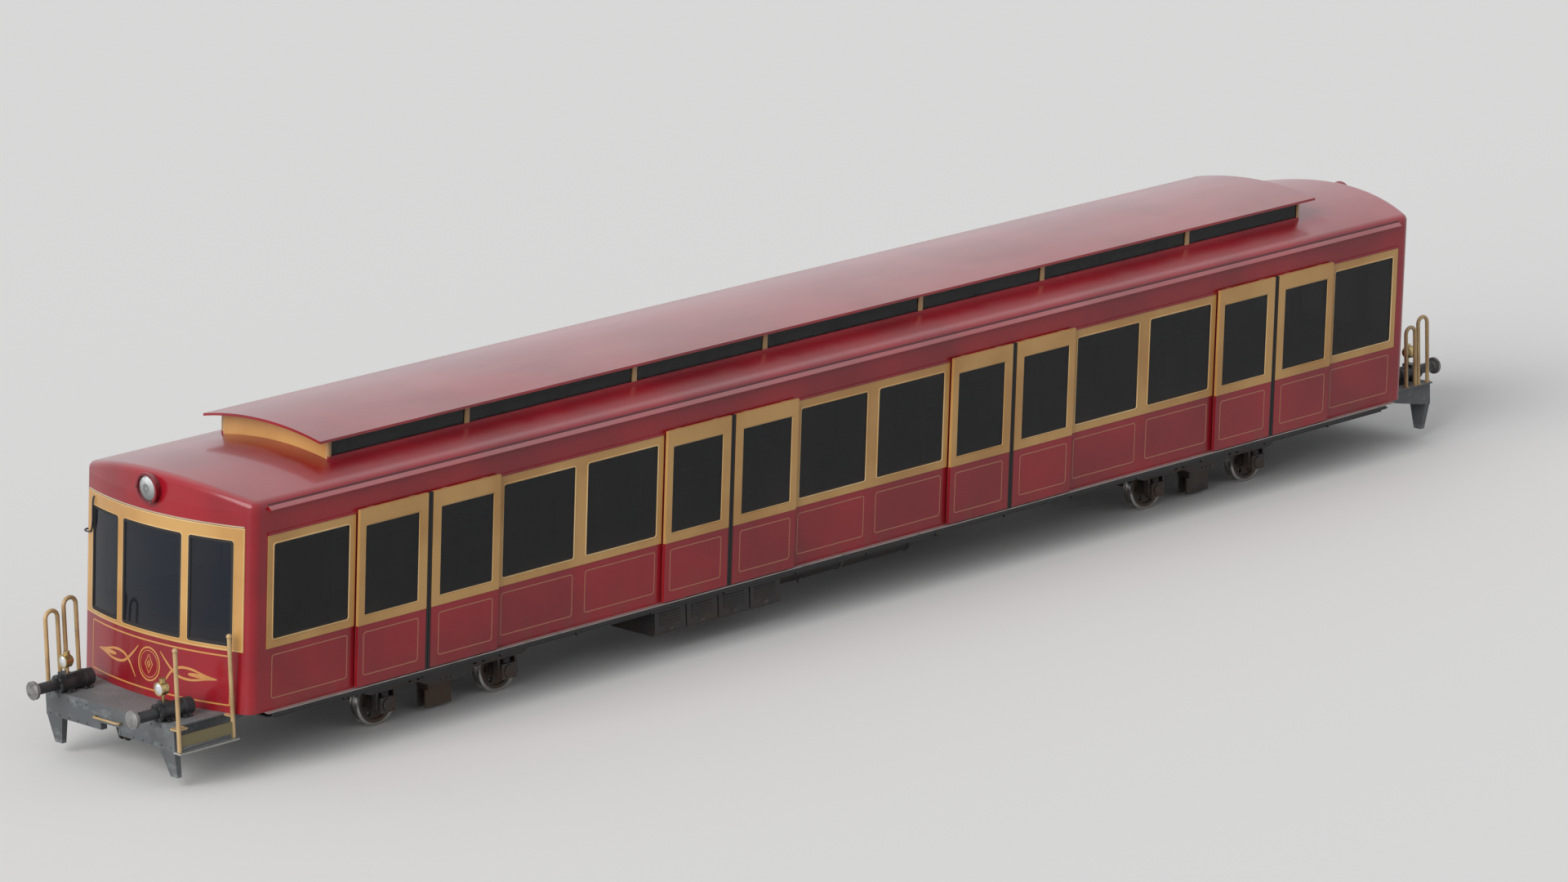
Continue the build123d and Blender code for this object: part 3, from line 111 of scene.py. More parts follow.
def quads(rows, columns, ring, start=0):
    """Corner numbers of the quads of a grid whose columns wrap round; ring wraps its rows too."""
    i = np.arange(rows if ring else rows - 1)[:, None]
    j = np.arange(columns)[None, :]
    above, beside = (i + 1) % rows, (j + 1) % columns
    corners = [i * columns + j, i * columns + beside, above * columns + beside, above * columns + j]
    return np.stack([c.ravel() for c in corners], 1) + start


def shell(grid, ring=False):
    """Points and faces of a closed skin over a (rows, columns, 3) grid; unless ring, fans close its ends."""
    rows, columns = grid.shape[:2]
    points = grid.reshape(-1, 3)
    faces = quads(rows, columns, ring).tolist()
    if not ring:
        j = np.arange(columns)
        beside = (j + 1) % columns
        hub = rows * columns
        points = np.concatenate([points, grid[0].mean(0)[None], grid[-1].mean(0)[None]])
        faces += np.stack([j, np.full(columns, hub), beside], 1).tolist()
        last = hub - columns
        faces += np.stack([last + beside, np.full(columns, hub + 1), last + j], 1).tolist()
    return points, faces


def carried(place, facing, section, ring=True, width=1.0):
    """A flat section carried along a path.

    At each path point the section's first number goes across the path, along the cross product of its
    direction and its facing, times width there, and its second number goes out along the facing.
    """
    if ring:
        along = np.roll(place, -1, 0) - np.roll(place, 1, 0)
    else:
        along = np.gradient(place, axis=0)
    across = np.cross(along, facing)
    across /= np.linalg.norm(across, axis=1)[:, None]
    width = np.broadcast_to(np.asarray(width, float), (len(place),))[:, None, None]
    sideways = across[:, None] * section[None, :, :1] * width
    return shell(place[:, None] + sideways + facing[:, None] * section[None, :, 1:], ring)


def band(width, height, sunk=0.001):
    """A flat band's section: width across, height out, its foot sunk in the skin and its top edges eased."""
    half, ease = width / 2, min(height, width) * 0.35
    return np.array([(-half, -sunk), (-half, height - ease), (-half + ease, height), (half - ease, height),
                     (half, height - ease), (half, -sunk)])


def moulding(width, height):
    """A half-round moulding's section: the upper half of an ellipse, with its foot sunk in the skin."""
    turn = np.linspace(math.pi, 0, 7)
    arch = np.stack([np.cos(turn) * width / 2, np.sin(turn) * height], 1)
    return np.concatenate([[(-width / 2, -0.001)], arch, [(width / 2, -0.001)]])


def bar(start, end, facing, width, height):
    """A straight bar with eased edges: its width lies across its run, its height goes out along facing."""
    section = rounded_box(-width / 2, width / 2, 0, height, min(width, height) * 0.2, corner=3)
    facing = np.tile(np.asarray(facing, float), (2, 1))
    return carried(np.array([start, end], float), facing, section, ring=False)


def circle(axis, around):
    """The unit circle square to axis, as points."""
    axis = np.asarray(axis, float)
    helper = np.array([0.0, 0.0, 1.0]) if abs(axis[2]) < 0.9 else np.array([1.0, 0.0, 0.0])
    first = np.cross(axis, helper)
    turn = np.arange(around) * 2 * math.pi / around
    return np.cos(turn)[:, None] * first + np.sin(turn)[:, None] * np.cross(axis, first)


def turned(profile, origin, axis, around=12, ring=False):
    """A solid of revolution: profile rows (distance along axis, radius) turned about axis through origin."""
    profile = np.asarray(profile, float)
    along = np.asarray(origin) + profile[:, None, :1] * np.asarray(axis)
    return shell(along + profile[:, None, 1:] * circle(axis, around), ring)


def hoop(origin, axis, inner, outer, thickness, around=32):
    """A flat ring with eased edges about axis: a rounded section turned as a closed loop."""
    section = rounded_box(0, thickness, inner, outer, min(thickness, outer - inner) * 0.3, corner=3)
    return turned(section, origin, axis, around, ring=True)


def bolts(places, axis, radius=0.011):
    """Hexagon heads on their washers, standing on a face that looks along axis."""
    washer, top = 1.6 * radius, (1.15 * radius, 0.8 * radius)
    profile = [(-0.002, washer), (0.003, washer), (0.003, radius), (radius, radius), top]
    return [turned(profile, place, axis, 6) for place in places]


def eased(points, rounds=3):
    """A path rounded by cutting each corner to its quarter points, over and over."""
    points = np.asarray(points, float)
    for _ in range(rounds):
        near, far = points[:-1], points[1:]
        cut = np.stack([0.75 * near + 0.25 * far, 0.25 * near + 0.75 * far], 1).reshape(-1, points.shape[1])
        points = np.concatenate([points[:1], cut, points[-1:]])
    return points


def tube(points, radius, around=10):
    """A round pipe along a path: its section is a circle, and its facing is square to the path."""
    place = np.asarray(points, float)
    along = np.gradient(place, axis=0)
    along /= np.linalg.norm(along, axis=1)[:, None]
    helper = np.where(np.abs(along[:, 2:]) < 0.8, [[0.0, 0.0, 1.0]], [[0.0, 1.0, 0.0]])
    facing = helper - along * (helper * along).sum(1)[:, None]
    facing /= np.linalg.norm(facing, axis=1)[:, None]
    turn = np.arange(around) * 2 * math.pi / around
    return carried(place, facing, radius * np.stack([np.cos(turn), np.sin(turn)], 1), ring=False)


def piece(name, body, finish, shells, sharp=40):
    """One object from closed skins: their doubles are merged, they face outwards, and it rides on body."""
    points, faces, start = [], [], 0
    for place, corners in shells:
        points.append(place)
        faces += [[start + c for c in face] for face in corners]
        start += len(place)
    mesh = bpy.data.meshes.new(name)
    mesh.from_pydata(np.concatenate(points).tolist(), [], faces)
    solid = bmesh.new()
    solid.from_mesh(mesh)
    bmesh.ops.remove_doubles(solid, verts=solid.verts, dist=1e-6)
    bmesh.ops.recalc_face_normals(solid, faces=solid.faces)
    solid.to_mesh(mesh)
    solid.free()
    mesh.shade_smooth()
    mesh.set_sharp_from_angle(angle=math.radians(sharp))
    made = bpy.data.objects.new(name, mesh)
    bpy.context.scene.collection.objects.link(made)
    mesh.materials.append(finish)
    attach(made, body)
    return made


# Shader formulas


def plain(red, green, blue):
    """A colour written as it looks on screen, 0 to 255, as the shader's own linear numbers."""
    shares = np.array([red, green, blue]) / 255
    linear = np.where(shares <= 0.04045, shares / 12.92, ((shares + 0.055) / 1.055) ** 2.4)
    return (*linear.tolist(), 1.0)


class Wire:
    """A shader socket that takes part in formulas: each operator adds the Math node that works it out."""

    def __init__(self, finish, socket):
        self.finish = finish
        self.socket = socket

    def math(self, operation, *others):
        return self.finish.node("ShaderNodeMath", {"operation": operation}, dict(enumerate((self, *others))))

    def __add__(self, other):
        return self.math("ADD", other)

    def __sub__(self, other):
        return self.math("SUBTRACT", other)

    def __rsub__(self, other):
        return self.math("MULTIPLY_ADD", -1.0, other)

    def __mul__(self, other):
        return self.math("MULTIPLY", other)

    def __pow__(self, other):
        return self.math("POWER", other)

    def __gt__(self, other):
        return self.math("GREATER_THAN", other)

    def __lt__(self, other):
        return self.math("LESS_THAN", other)

    def __abs__(self):
        return self.math("ABSOLUTE")

    __radd__ = __add__
    __rmul__ = __mul__


class Finish:
    """One finish: a material, and the nodes that its formulas add to it."""

    def __init__(self, name):
        self.material = bpy.data.materials.new(name)
        self.material.use_nodes = True
        self.tree = self.material.node_tree
        self.tree.nodes.clear()
        self.place = self.node("ShaderNodeTexCoord", output="Object")
        self.x, self.y, self.z = self.parts(self.place)
        facing = Wire(self, self.place.socket.node.outputs["Normal"])
        self.up = self.parts(facing)[2]
        self.out = abs(self.y)
        self.along = self.x - (self.z - GLASS_Z) * LEAN

    def node(self, kind, settings=None, sockets=None, output=0):
        """Adds a node: its settings first, such as a Math node's operation, then its sockets."""
        made = self.tree.nodes.new(kind)
        for key, value in (settings or {}).items():
            setattr(made, key, value)
        for key, value in (sockets or {}).items():
            if isinstance(value, Wire):
                self.tree.links.new(value.socket, made.inputs[key])
            else:
                made.inputs[key].default_value = value
        return Wire(self, made.outputs[output])

    def parts(self, vector):
        made = self.node("ShaderNodeSeparateXYZ", sockets={0: vector}).socket.node
        return [Wire(self, socket) for socket in made.outputs]

    def speckle(self, scale, detail=2.0, stretch=None, rough=0.5):
        """Noise about 0.5, scale lumps to the metre; stretch multiplies each way of the pattern."""
        place = self.place
        if stretch:
            place = self.node("ShaderNodeVectorMath", {"operation": "MULTIPLY"}, {0: place, 1: stretch})
        sockets = {"Vector": place, "Scale": scale, "Detail": detail, "Roughness": rough}
        return self.node("ShaderNodeTexNoise", sockets=sockets, output="Fac")

    def fade(self, value, low, high):
        """0 at low, 1 at high, and smooth between."""
        settings = {"interpolation_type": "SMOOTHSTEP", "clamp": True}
        return self.node("ShaderNodeMapRange", settings, {"Value": value, "From Min": low, "From Max": high})

    def between(self, value, low, high):
        """1 where value lies between low and high."""
        return (value > low) * (value < high)

    def blend(self, share, under, over):
        """The colour under, turned to over by share."""
        return self.node("ShaderNodeMix", {"data_type": "RGBA"}, {0: share, 6: under, 7: over}, 2)

    def relief(self, height, depth):
        """The normal of a surface that rises by height times depth."""
        return self.node("ShaderNodeBump", sockets={"Height": height, "Distance": depth})

    def skin(self, colour, roughness, normal=None, **fixed):
        """The main shader; fixed holds what is the same all over, by its socket's name."""
        sockets = {"Base Color": colour, "Roughness": roughness}
        if normal:
            sockets["Normal"] = normal
        sockets.update({key.replace("_", " "): value for key, value in fixed.items()})
        return self.node("ShaderNodeBsdfPrincipled", sockets=sockets)

    def over(self, share, under, top):
        """One shader over another where share is 1."""
        return self.node("ShaderNodeMixShader", sockets={0: share, 1: under, 2: top})

    def cover(self, shader):
        """Puts the shader on the material."""
        end = self.tree.nodes.new("ShaderNodeOutputMaterial")
        self.tree.links.new(shader.socket, end.inputs["Surface"])
        return self.material


CRIMSON, CRIMSON_DEEP = plain(160, 20, 35), plain(134, 14, 29)
# A dark crimson for the seam under the eaves, where it stands for painted shade.
SEAM_SHADE = plain(92, 20, 33)
# The pale gold is for the beads round the lights, as a painted highlight.
GOLD, GOLD_DEEP, GOLD_HIGHLIGHT = plain(210, 163, 97), plain(188, 138, 76), plain(230, 196, 140)
# Olive is the handrails' yellow darkened as painted shade.
YELLOW, YELLOW_DEEP, OLIVE_SHADE = plain(198, 165, 116), plain(168, 135, 92), plain(122, 110, 70)
POST_GOLD, POST_DEEP = plain(186, 156, 108), plain(160, 128, 84)
# The roof's pale pink is dust and painted sky reflection on the varnish.
ROOF_DUST_AND_SKY, ROAD_DIRT = plain(196, 158, 156), plain(92, 74, 60)
LINING, CEILING = plain(196, 184, 160), plain(214, 208, 192)
DECK_GREY, DECK_DEEP = plain(114, 116, 117), plain(88, 91, 93)
BLACK, SOOT, BRAKE_DUST = plain(38, 39, 41), plain(24, 24, 26), plain(88, 66, 50)
# The ends' glass tint is lighter and bluer than the sides': painted sky reflection.
TINT, END_TINT_AND_SKY, RUBBER = plain(14, 17, 21), plain(26, 33, 44), plain(22, 22, 23)


def painted(f, colour, deep, dust=0.0, dirty=1.0, shine=0.3):
    """Varnished coach paint.

    Its tone drifts over a metre or so, rain has drawn upright streaks of road dirt above the skirt, and the
    varnish has a faint ripple. What share of it dust hides is given; the dust's pale pink also paints sky
    reflection.
    """
    cloud = f.speckle(0.8, 4)
    streak = f.speckle(5, 4, (1, 1, 0.1))
    ripple = f.speckle(22, 2)
    dirt = f.fade(f.z, 1.15, 0.72) * f.fade(streak, 0.40, 0.78) * 0.35 * dirty
    tone = f.blend(f.fade(cloud, 0.35, 0.68), colour, deep)
    # The pale pink blended in is dust and painted sky reflection.
    tone = f.blend(dirt, f.blend(dust, tone, ROOF_DUST_AND_SKY), ROAD_DIRT)
    roughness = 0.24 + 0.30 * dust + 0.40 * dirt + 0.10 * cloud
    bump = f.relief(ripple, 0.0006)
    return f.skin(tone, roughness, bump, Coat_Weight=shine, Coat_Roughness=0.10, Specular_IOR_Level=0.4)


def lined(f, colour):
    """Wipeable wall lining: matt, with a fine leathery grain and a slightly darker foot."""
    grain = f.speckle(240, 3)
    tone = f.blend(f.fade(f.z, 1.1, 0.8) * 0.4, colour, ROAD_DIRT)
    tone = f.blend(f.fade(f.speckle(3, 3), 0.4, 0.7) * 0.15, tone, BRAKE_DUST)
    return f.skin(tone, 0.55 + 0.1 * grain, f.relief(grain, 0.0005))


def tinted(f, tint=TINT):
    """Dark tinted glass with a faint film of dust toward its foot; what shows through is the tint's alpha."""
    film = f.fade(f.speckle(2.2, 4, (1, 1, 0.4)), 0.45, 0.8) * 0.10 + f.fade(f.z, 1.75, 1.50) * 0.08
    return f.skin(f.blend(film, tint, ROAD_DIRT), 0.03 + 0.5 * film, Alpha=0.76, Specular_IOR_Level=0.34)


def rubbered(f):
    """Black rubber, dull, greyed by dust where it faces up."""
    grain = f.speckle(90, 3)
    tone = f.blend(f.fade(f.up, 0.2, 0.9) * 0.35 + 0.1 * grain, RUBBER, ROAD_DIRT)
    return f.skin(tone, 0.65 + 0.2 * grain, f.relief(grain, 0.0006))


def crimson_side():
    """Side panels and letterboards: paint outside, lining inside the panel's thickness."""
    f = Finish("crimson_side")
    inside = f.out < SIDE - PANEL + 0.004
    return f.cover(f.over(inside, painted(f, CRIMSON, CRIMSON_DEEP), lined(f, LINING)))


def crimson_end():
    """Bowed end walls: the lining starts where the depth behind the outer bow nears the panel's thickness."""
    f = Finish("crimson_end")
    bow = (BOW_RADIUS**2 - f.y * f.y) ** 0.5
    depth = bow + (HALF_LENGTH + BOW - BOW_RADIUS) - abs(f.along)
    inside = (depth > PANEL - 0.004) * (f.out < SIDE - PANEL + 0.004)
    return f.cover(f.over(inside, painted(f, CRIMSON, CRIMSON_DEEP), lined(f, LINING)))


def crimson_roof(name, ceiling_half, thick, mirrors_clerestory=False):
    """Roof skins: paint above, and pale ceiling on what faces down inside ceiling_half of the centreline.

    Dust settles on what faces up, in patches drawn out along the car, and its pale pink also stands for
    painted sky reflection on the varnish; thick is the share of paint they hide. Both thin out close to the
    clerestory when the last argument is set, as painted reflection of the clerestory: by the larger of the
    distances across from its wall and along from its end.
    """
    f = Finish(name)
    dust = f.fade(f.up, 0.45, 0.97) * (0.45 + 1.1 * f.speckle(1.6, 5, (0.4, 1, 1))) * thick
    # Near the clerestory the varnish mirrors the clerestory, not the sky: the pink thins there as painted
    # reflection.
    if mirrors_clerestory:
        ragged = 0.12 * f.speckle(2.5, 4)
        beside = f.fade(f.out + ragged, CLERESTORY_HALF + 0.16, CLERESTORY_HALF + 0.40)
        beyond = f.fade(abs(f.along) + ragged, CLERESTORY_END + 0.34, CLERESTORY_END + 0.46)
        dust = dust * beside.math("MAXIMUM", beyond)
    inside = (f.up < -0.3) * (f.out < ceiling_half)
    return f.cover(f.over(inside, painted(f, CRIMSON, CRIMSON_DEEP, dust, 0, 0.5), lined(f, CEILING)))


def gold_frame(name="gold_frame", colour=GOLD, deep=GOLD_DEEP):
    """Painted frames, mouldings and seams, with a darker drift; the beads' paler gold is a painted highlight
    and the eaves' seam is darkened as painted shade.
    """
    f = Finish(name)
    return f.cover(painted(f, colour, deep, 0.0, 0.5))


def clerestory_post():
    """Clerestory walls: crimson below the lights, pale gold posts between them, lining inside."""
    f = Finish("clerestory_post")
    inside = f.out < CLERESTORY_HALF - 0.036
    low, high = painted(f, CRIMSON, CRIMSON_DEEP, 0.0, 0), painted(f, POST_GOLD, POST_DEEP, 0.0, 0)
    return f.cover(f.over(inside, f.over(f.z > CROWN_Z - 0.040, low, high), lined(f, CEILING)))


def yellow_tube():
    """Handrails: yellow paint, worn to grey primer where hands hold it, and darkened to olive on the steps'
    risers as painted shade.
    """
    f = Finish("yellow_tube")
    worn = f.fade(f.speckle(26, 5), 0.60, 0.72) * f.fade(f.z, 1.0, 1.5)
    chips = f.fade(f.speckle(120, 4), 0.66, 0.74)
    # The steps' risers are darkened to olive: painted shade.
    shaded_riser = f.between(abs(f.x), RISER_X[0], RISER_X[1]) * (f.z < RISER_TOP)
    tone = f.blend(shaded_riser, f.blend(f.fade(f.speckle(3, 3), 0.4, 0.7), YELLOW, YELLOW_DEEP), OLIVE_SHADE)
    tone = f.blend(worn * 0.8 + chips * 0.3, tone, DECK_GREY)
    return f.cover(f.skin(tone, 0.30 + 0.25 * worn, f.relief(f.speckle(50, 2), 0.0008), Coat_Weight=0.3))


def leaf_paint():
    """A door leaf: gold above its moulding and crimson below, lining inside, rubber edge and tinted pane.

    The distance from the doorway's middle is the wrapped distance along the side, and the pane is what lies
    in the light's outline and the pane's thickness.
    """
    f = Finish("leaf_paint")
    middle = abs((f.along - DOORS[0]).math("WRAP", DOOR_PITCH / 2, -DOOR_PITCH / 2))
    edge = REBATE - 0.0008
    pane = f.between(middle, LEAF_LIGHT[0] - edge, LEAF_LIGHT[1] + edge)
    pane = pane * f.between(f.z, GLASS_Z - edge, LEAF_GLASS_TOP + edge)
    pane = pane * f.between(f.out, LEAF_PANE[0] - 0.0004, LEAF_PANE[1] + 0.0004)
    inside = f.out < LEAF_INNER + 0.001
    low, high = painted(f, CRIMSON, CRIMSON_DEEP), painted(f, GOLD, GOLD_DEEP, 0.0, 0.5)
    outside = f.over(f.z > FRAME_FOOT - 0.001, low, high)
    body = f.over(middle < LEAF_SEAL_EDGE - 0.0005, f.over(inside, outside, lined(f, LINING)), rubbered(f))
    return f.cover(f.over(pane, body, tinted(f)))


def window_tint(name, tint):
    """The fixed panes."""
    f = Finish(name)
    return f.cover(tinted(f, tint))


def deck_grey():
    """Platform paint: grey, chipped and scuffed, with a raised lozenge tread on what faces up.

    The tread's height is the product of two cosines along the plate's diagonals. What faces up is lightened
    and upright faces darkened, as painted light and shade.
    """
    f = Finish("deck_grey")
    turns = math.pi / 0.055
    lozenge = ((f.x + f.y) * turns).math("COSINE") * ((f.x - f.y) * turns).math("COSINE")
    tread = f.fade(f.up, 0.7, 0.9)
    lozenge = f.fade(lozenge, 0.35, 0.6) * tread
    scuff = f.fade(f.speckle(7, 6, (1, 0.5, 1), 0.65), 0.52, 0.68)
    worn_tip = f.fade(f.z, 0.20, 0.15) * f.fade(f.speckle(30, 4), 0.35, 0.6)
    # Painted shade: upright faces lean to the deeper grey; the tops are lightened as painted light.
    tone = f.blend(f.fade(f.speckle(1.2, 4) - 0.2 * f.up, 0.25, 0.6), DECK_GREY, DECK_DEEP)
    tone = f.blend(scuff * 0.4 + lozenge * 0.15 + worn_tip * 0.6 + tread * 0.12, tone, plain(148, 152, 152))
    tone = f.blend(f.fade(f.speckle(3, 5), 0.55, 0.75) * 0.12, tone, ROAD_DIRT)
    height = lozenge + 0.3 * f.speckle(40, 3)
    return f.cover(f.skin(tone, 0.55 - 0.15 * lozenge, f.relief(height, 0.002)))


def sooty(name, colour=BLACK, worn=0.5):
    """Underframe paint: near black, browned by brake dust toward the rails and dusty on top."""
    f = Finish(name)
    low = f.fade(f.z, 0.75, 0.15) * f.fade(f.speckle(3, 5), 0.3, 0.7)
    top = f.fade(f.up, 0.5, 0.95) * f.speckle(4, 4)
    tone = f.blend(low * worn, f.blend(f.fade(f.speckle(2, 4), 0.4, 0.7), colour, SOOT), BRAKE_DUST)
    tone = f.blend(top * 0.6, tone, ROAD_DIRT)
    height = f.speckle(60, 4)
    return f.cover(f.skin(tone, 0.45 + 0.3 * low + 0.2 * top, f.relief(height, 0.0012)))


def buffer_iron():
    """Buffers: dark sleeves and saddles, and a greased grey head beyond the beam."""
    f = Finish("buffer_iron")
    head = f.fade(abs(f.x), PLATFORM_X + 0.29, PLATFORM_X + 0.31)
    smear = f.fade(f.speckle(14, 5), 0.45, 0.7)
    bare = f.blend(smear, plain(136, 134, 132), plain(92, 88, 84))
    sleeve = f.blend(f.fade(f.speckle(5, 4), 0.4, 0.7), plain(64, 65, 68), BLACK)
    tone = f.blend(head, sleeve, bare)
    return f.cover(f.skin(tone, 0.42 + 0.2 * smear, f.relief(f.speckle(45, 3), 0.001), Metallic=0.25))


def wheel_steel(name, x):
    """A wheelset: bright tread where it rolls, by the distance from its axle, and rust-brown elsewhere."""
    f = Finish(name)
    away = ((f.x - x) * (f.x - x) + (f.z - AXLE_Z) * (f.z - AXLE_Z)) ** 0.5
    rolled = f.fade(away, 0.240, 0.248)
    rust = f.fade(f.speckle(9, 6), 0.35, 0.7)
    dull = f.blend(rust, plain(70, 66, 62), BRAKE_DUST)
    tone = f.blend(rolled, dull, plain(176, 174, 170))
    bump = f.relief(f.speckle(50, 4), 0.001)
    return f.cover(f.skin(tone, 0.62 - 0.36 * rolled, bump, Metallic=rolled * 0.9 + 0.1))


def sill_metal():
    """Thresholds and sill lips: brushed aluminium, ribbed along the doorway, with dirt between the ribs."""
    f = Finish("sill_metal")
    ribs = (f.y * 520).math("SINE")
    dirt = f.fade(f.speckle(6, 5), 0.45, 0.75)
    tone = f.blend(dirt * 0.5, plain(176, 174, 170), ROAD_DIRT)
    return f.cover(f.skin(tone, 0.35 + 0.3 * dirt, f.relief(ribs, 0.0012), Metallic=0.85))


def rail_paint():
    """Door rails and the sill lip: bright worn red on the rail, pale metal on the lip below the skirt."""
    f = Finish("rail_paint")
    lip = f.z < SKIRT_Z + 0.003
    dirt = f.fade(f.speckle(6, 5), 0.45, 0.75)
    metal = f.skin(f.blend(dirt * 0.4, plain(170, 160, 156), ROAD_DIRT), 0.4 + 0.3 * dirt, Metallic=0.5)
    return f.cover(f.over(lip, painted(f, CRIMSON, CRIMSON_DEEP, 0.0, 0.3), metal))


def lamp_case(name="lamp_case", shell_from=2.0):
    """Lamp cases: the headlights' shells above shell_from, in the body's crimson darkened as painted shade,
    and tarnished brass below it.
    """
    f = Finish(name)
    tarnish = f.fade(f.speckle(30, 5), 0.4, 0.75)
    tone = f.blend(tarnish * 0.6, plain(196, 172, 120), plain(112, 92, 62))
    brass = f.skin(tone, 0.25 + 0.3 * tarnish, Metallic=0.9)
    # The shells' crimson is darker than the body's: painted shade; the pale on their tops is dust and painted
    # sky reflection.
    shaded_shell_paint = painted(f, plain(128, 16, 30), plain(100, 12, 24), f.fade(f.up, 0.3, 0.9) * 0.2, 0)
    return f.cover(f.over(f.z > shell_from, brass, shaded_shell_paint))


def lamp_glass():
    """Lamp lenses: pressed glass with upright flutes over a silvered bowl.

    A headlight's bowl is bright above and grey below, a painted reflection; by the distance from its middle,
    a grey bulb holder shows in it and a dark ring of painted shadow closes it. The flutes' crests are
    lightened as painted glints.
    """
    f = Finish("lamp_glass")
    flutes = (f.y * 420).math("SINE")
    away = (f.y * f.y + (f.z - HEADLIGHT_Z) * (f.z - HEADLIGHT_Z)) ** 0.5
    # Painted reflection: the bowl bright above and grey below.
    high = f.fade(f.z, HEADLIGHT_Z - 0.10, HEADLIGHT_Z + 0.08)
    bowl = f.blend(high, plain(104, 108, 108), plain(196, 198, 196))
    bowl = f.blend(f.fade(away, 0.070, 0.045) * 0.85, bowl, plain(74, 84, 82))
    # A dark ring of painted shadow round the bowl's edge.
    bowl = f.blend(f.fade(away, 0.122, 0.134), bowl, plain(52, 34, 38))
    tone = f.blend(f.z > 2.0, plain(214, 216, 218), bowl)
    # Painted glints along the flutes' crests.
    tone = f.blend(f.fade(flutes, -1.0, 1.0) * 0.25, tone, plain(244, 245, 246))
    bump = f.relief(flutes, 0.0015)
    return f.cover(f.skin(tone, 0.12, bump, Metallic=0.35, Coat_Weight=1.0, Coat_Roughness=0.02))


def floor_rubber():
    """Cabin floor: studded dark rubber."""
    f = Finish("floor_rubber")
    sockets = {"Vector": f.place, "Scale": 24.0, "Randomness": 0.0}
    stud = f.fade(f.node("ShaderNodeTexVoronoi", {"feature": "F1"}, sockets), 0.34, 0.26)
    tone = f.blend(f.fade(f.speckle(2, 5), 0.4, 0.75) * 0.5, plain(62, 60, 58), ROAD_DIRT)
    return f.cover(f.skin(tone, 0.7, f.relief(stud, 0.0012)))


def bench_wood():
    """Bench slats: varnished beech, its grain drawn out along the bench."""
    f = Finish("bench_wood")
    grain = f.speckle(9, 6, (0.25, 4, 4), 0.6)
    tone = f.blend(f.fade(grain, 0.35, 0.68), plain(176, 122, 70), plain(128, 78, 40))
    wood = f.skin(tone, 0.32 + 0.15 * grain, f.relief(grain, 0.0008), Coat_Weight=0.4)
    return f.cover(wood)


def pole_steel():
    """Stanchions: brushed stainless steel."""
    f = Finish("pole_steel")
    brush = f.speckle(30, 4, (6, 6, 0.3))
    tone = f.blend(brush, plain(188, 188, 186), plain(150, 150, 150))
    return f.cover(f.skin(tone, 0.22 + 0.15 * brush, Metallic=1.0))


def desk_plastic():
    """Driving desks: grained dark grey moulding with a paler worktop."""
    f = Finish("desk_plastic")
    grain = f.speckle(160, 3)
    tone = f.blend(f.fade(f.up, 0.6, 0.9) * 0.6, plain(66, 68, 72), plain(126, 126, 124))
    return f.cover(f.skin(tone, 0.5 + 0.15 * grain, f.relief(grain, 0.0006)))


def step_plate():
    """Steps: a pale metal edge round a ribbed grey tread."""
    f = Finish("step_plate")
    ribs = (f.x * 260).math("SINE")
    scuff = f.fade(f.speckle(12, 5), 0.5, 0.7)
    tread = f.blend(scuff, DECK_GREY, DECK_DEEP)
    tone = f.blend(f.fade(f.up, 0.5, 0.8), f.blend(scuff * 0.4, plain(170, 168, 160), DECK_GREY), tread)
    return f.cover(f.skin(tone, 0.5 + 0.2 * scuff, f.relief(ribs * f.fade(f.up, 0.5, 0.8), 0.0015)))


def opal():
    """Opal plastic of the ceiling lights, a little yellowed."""
    f = Finish("opal_plastic")
    tone = f.blend(f.speckle(4, 3) * 0.4, plain(232, 230, 222), plain(214, 206, 186))
    return f.cover(f.skin(tone, 0.35))


def pinstripe(name, colour, deep):
    """Signwriter's enamel with the brush's drag."""
    f = Finish(name)
    drag = f.speckle(40, 3)
    return f.cover(f.skin(f.blend(drag, colour, deep), 0.32 + 0.1 * drag, Coat_Weight=0.4))


def rubbered_finish():
    """Glazing rubber and hoses."""
    f = Finish("gasket_rubber")
    return f.cover(rubbered(f))


def dress(finish, *names):
    """Gives CAD nodes a finish."""
    for name in names:
        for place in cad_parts[name].material_slots:
            place.material = finish


crimson, gold = crimson_side(), gold_frame()
# The main roof's pink thins near the clerestory, as painted reflection of it.
roof_finish = crimson_roof("crimson_roof", CEILING_HALF, 0.20, True)
frame_paint, bogie_paint = sooty("frame_black"), sooty("bogie_black", plain(46, 46, 48), 0.9)
iron, deck = buffer_iron(), deck_grey()
desk_finish, shade_white = desk_plastic(), opal()
dress(crimson, "side_panels_left", "side_panels_right", "letterboards")
dress(crimson_end(), "end_walls")
dress(roof_finish, "roof_caps", "roof_sides", "gutters")
# The clerestory roof carries the most pale pink: dust and painted sky reflection.
dress(crimson_roof("clerestory_skin", CLERESTORY_HALF, 0.42), "clerestory_roof")
dress(gold, "window_frames", "end_window_frames", "clerestory_ends")
dress(clerestory_post(), "clerestory_sides")
dress(yellow_tube(), "handrails")
dress(leaf_paint(), *[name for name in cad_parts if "_door_" in name])
dress(window_tint("window_tint", TINT), "side_glass", "clerestory_glass")
dress(window_tint("end_tint_and_sky", END_TINT_AND_SKY), "end_glass")
dress(deck, "end_platforms", "rail_guards")
dress(frame_paint, "underframe", "battery_box", "brake_power_pack", "tow_coupler", "rope_anchor")
dress(bogie_paint, "bogie_frame_downhill", "bogie_frame_uphill")
dress(sooty("brake_iron", plain(78, 70, 62), 0.9), "rail_brake_downhill", "rail_brake_uphill")
dress(iron, "buffers")
for number, x in enumerate([e * BOGIE_X + s * WHEELBASE / 2 for e in (-1, 1) for s in (-1, 1)], 1):
    dress(wheel_steel(f"wheel_steel_{number}", x), f"wheelset_{number}")
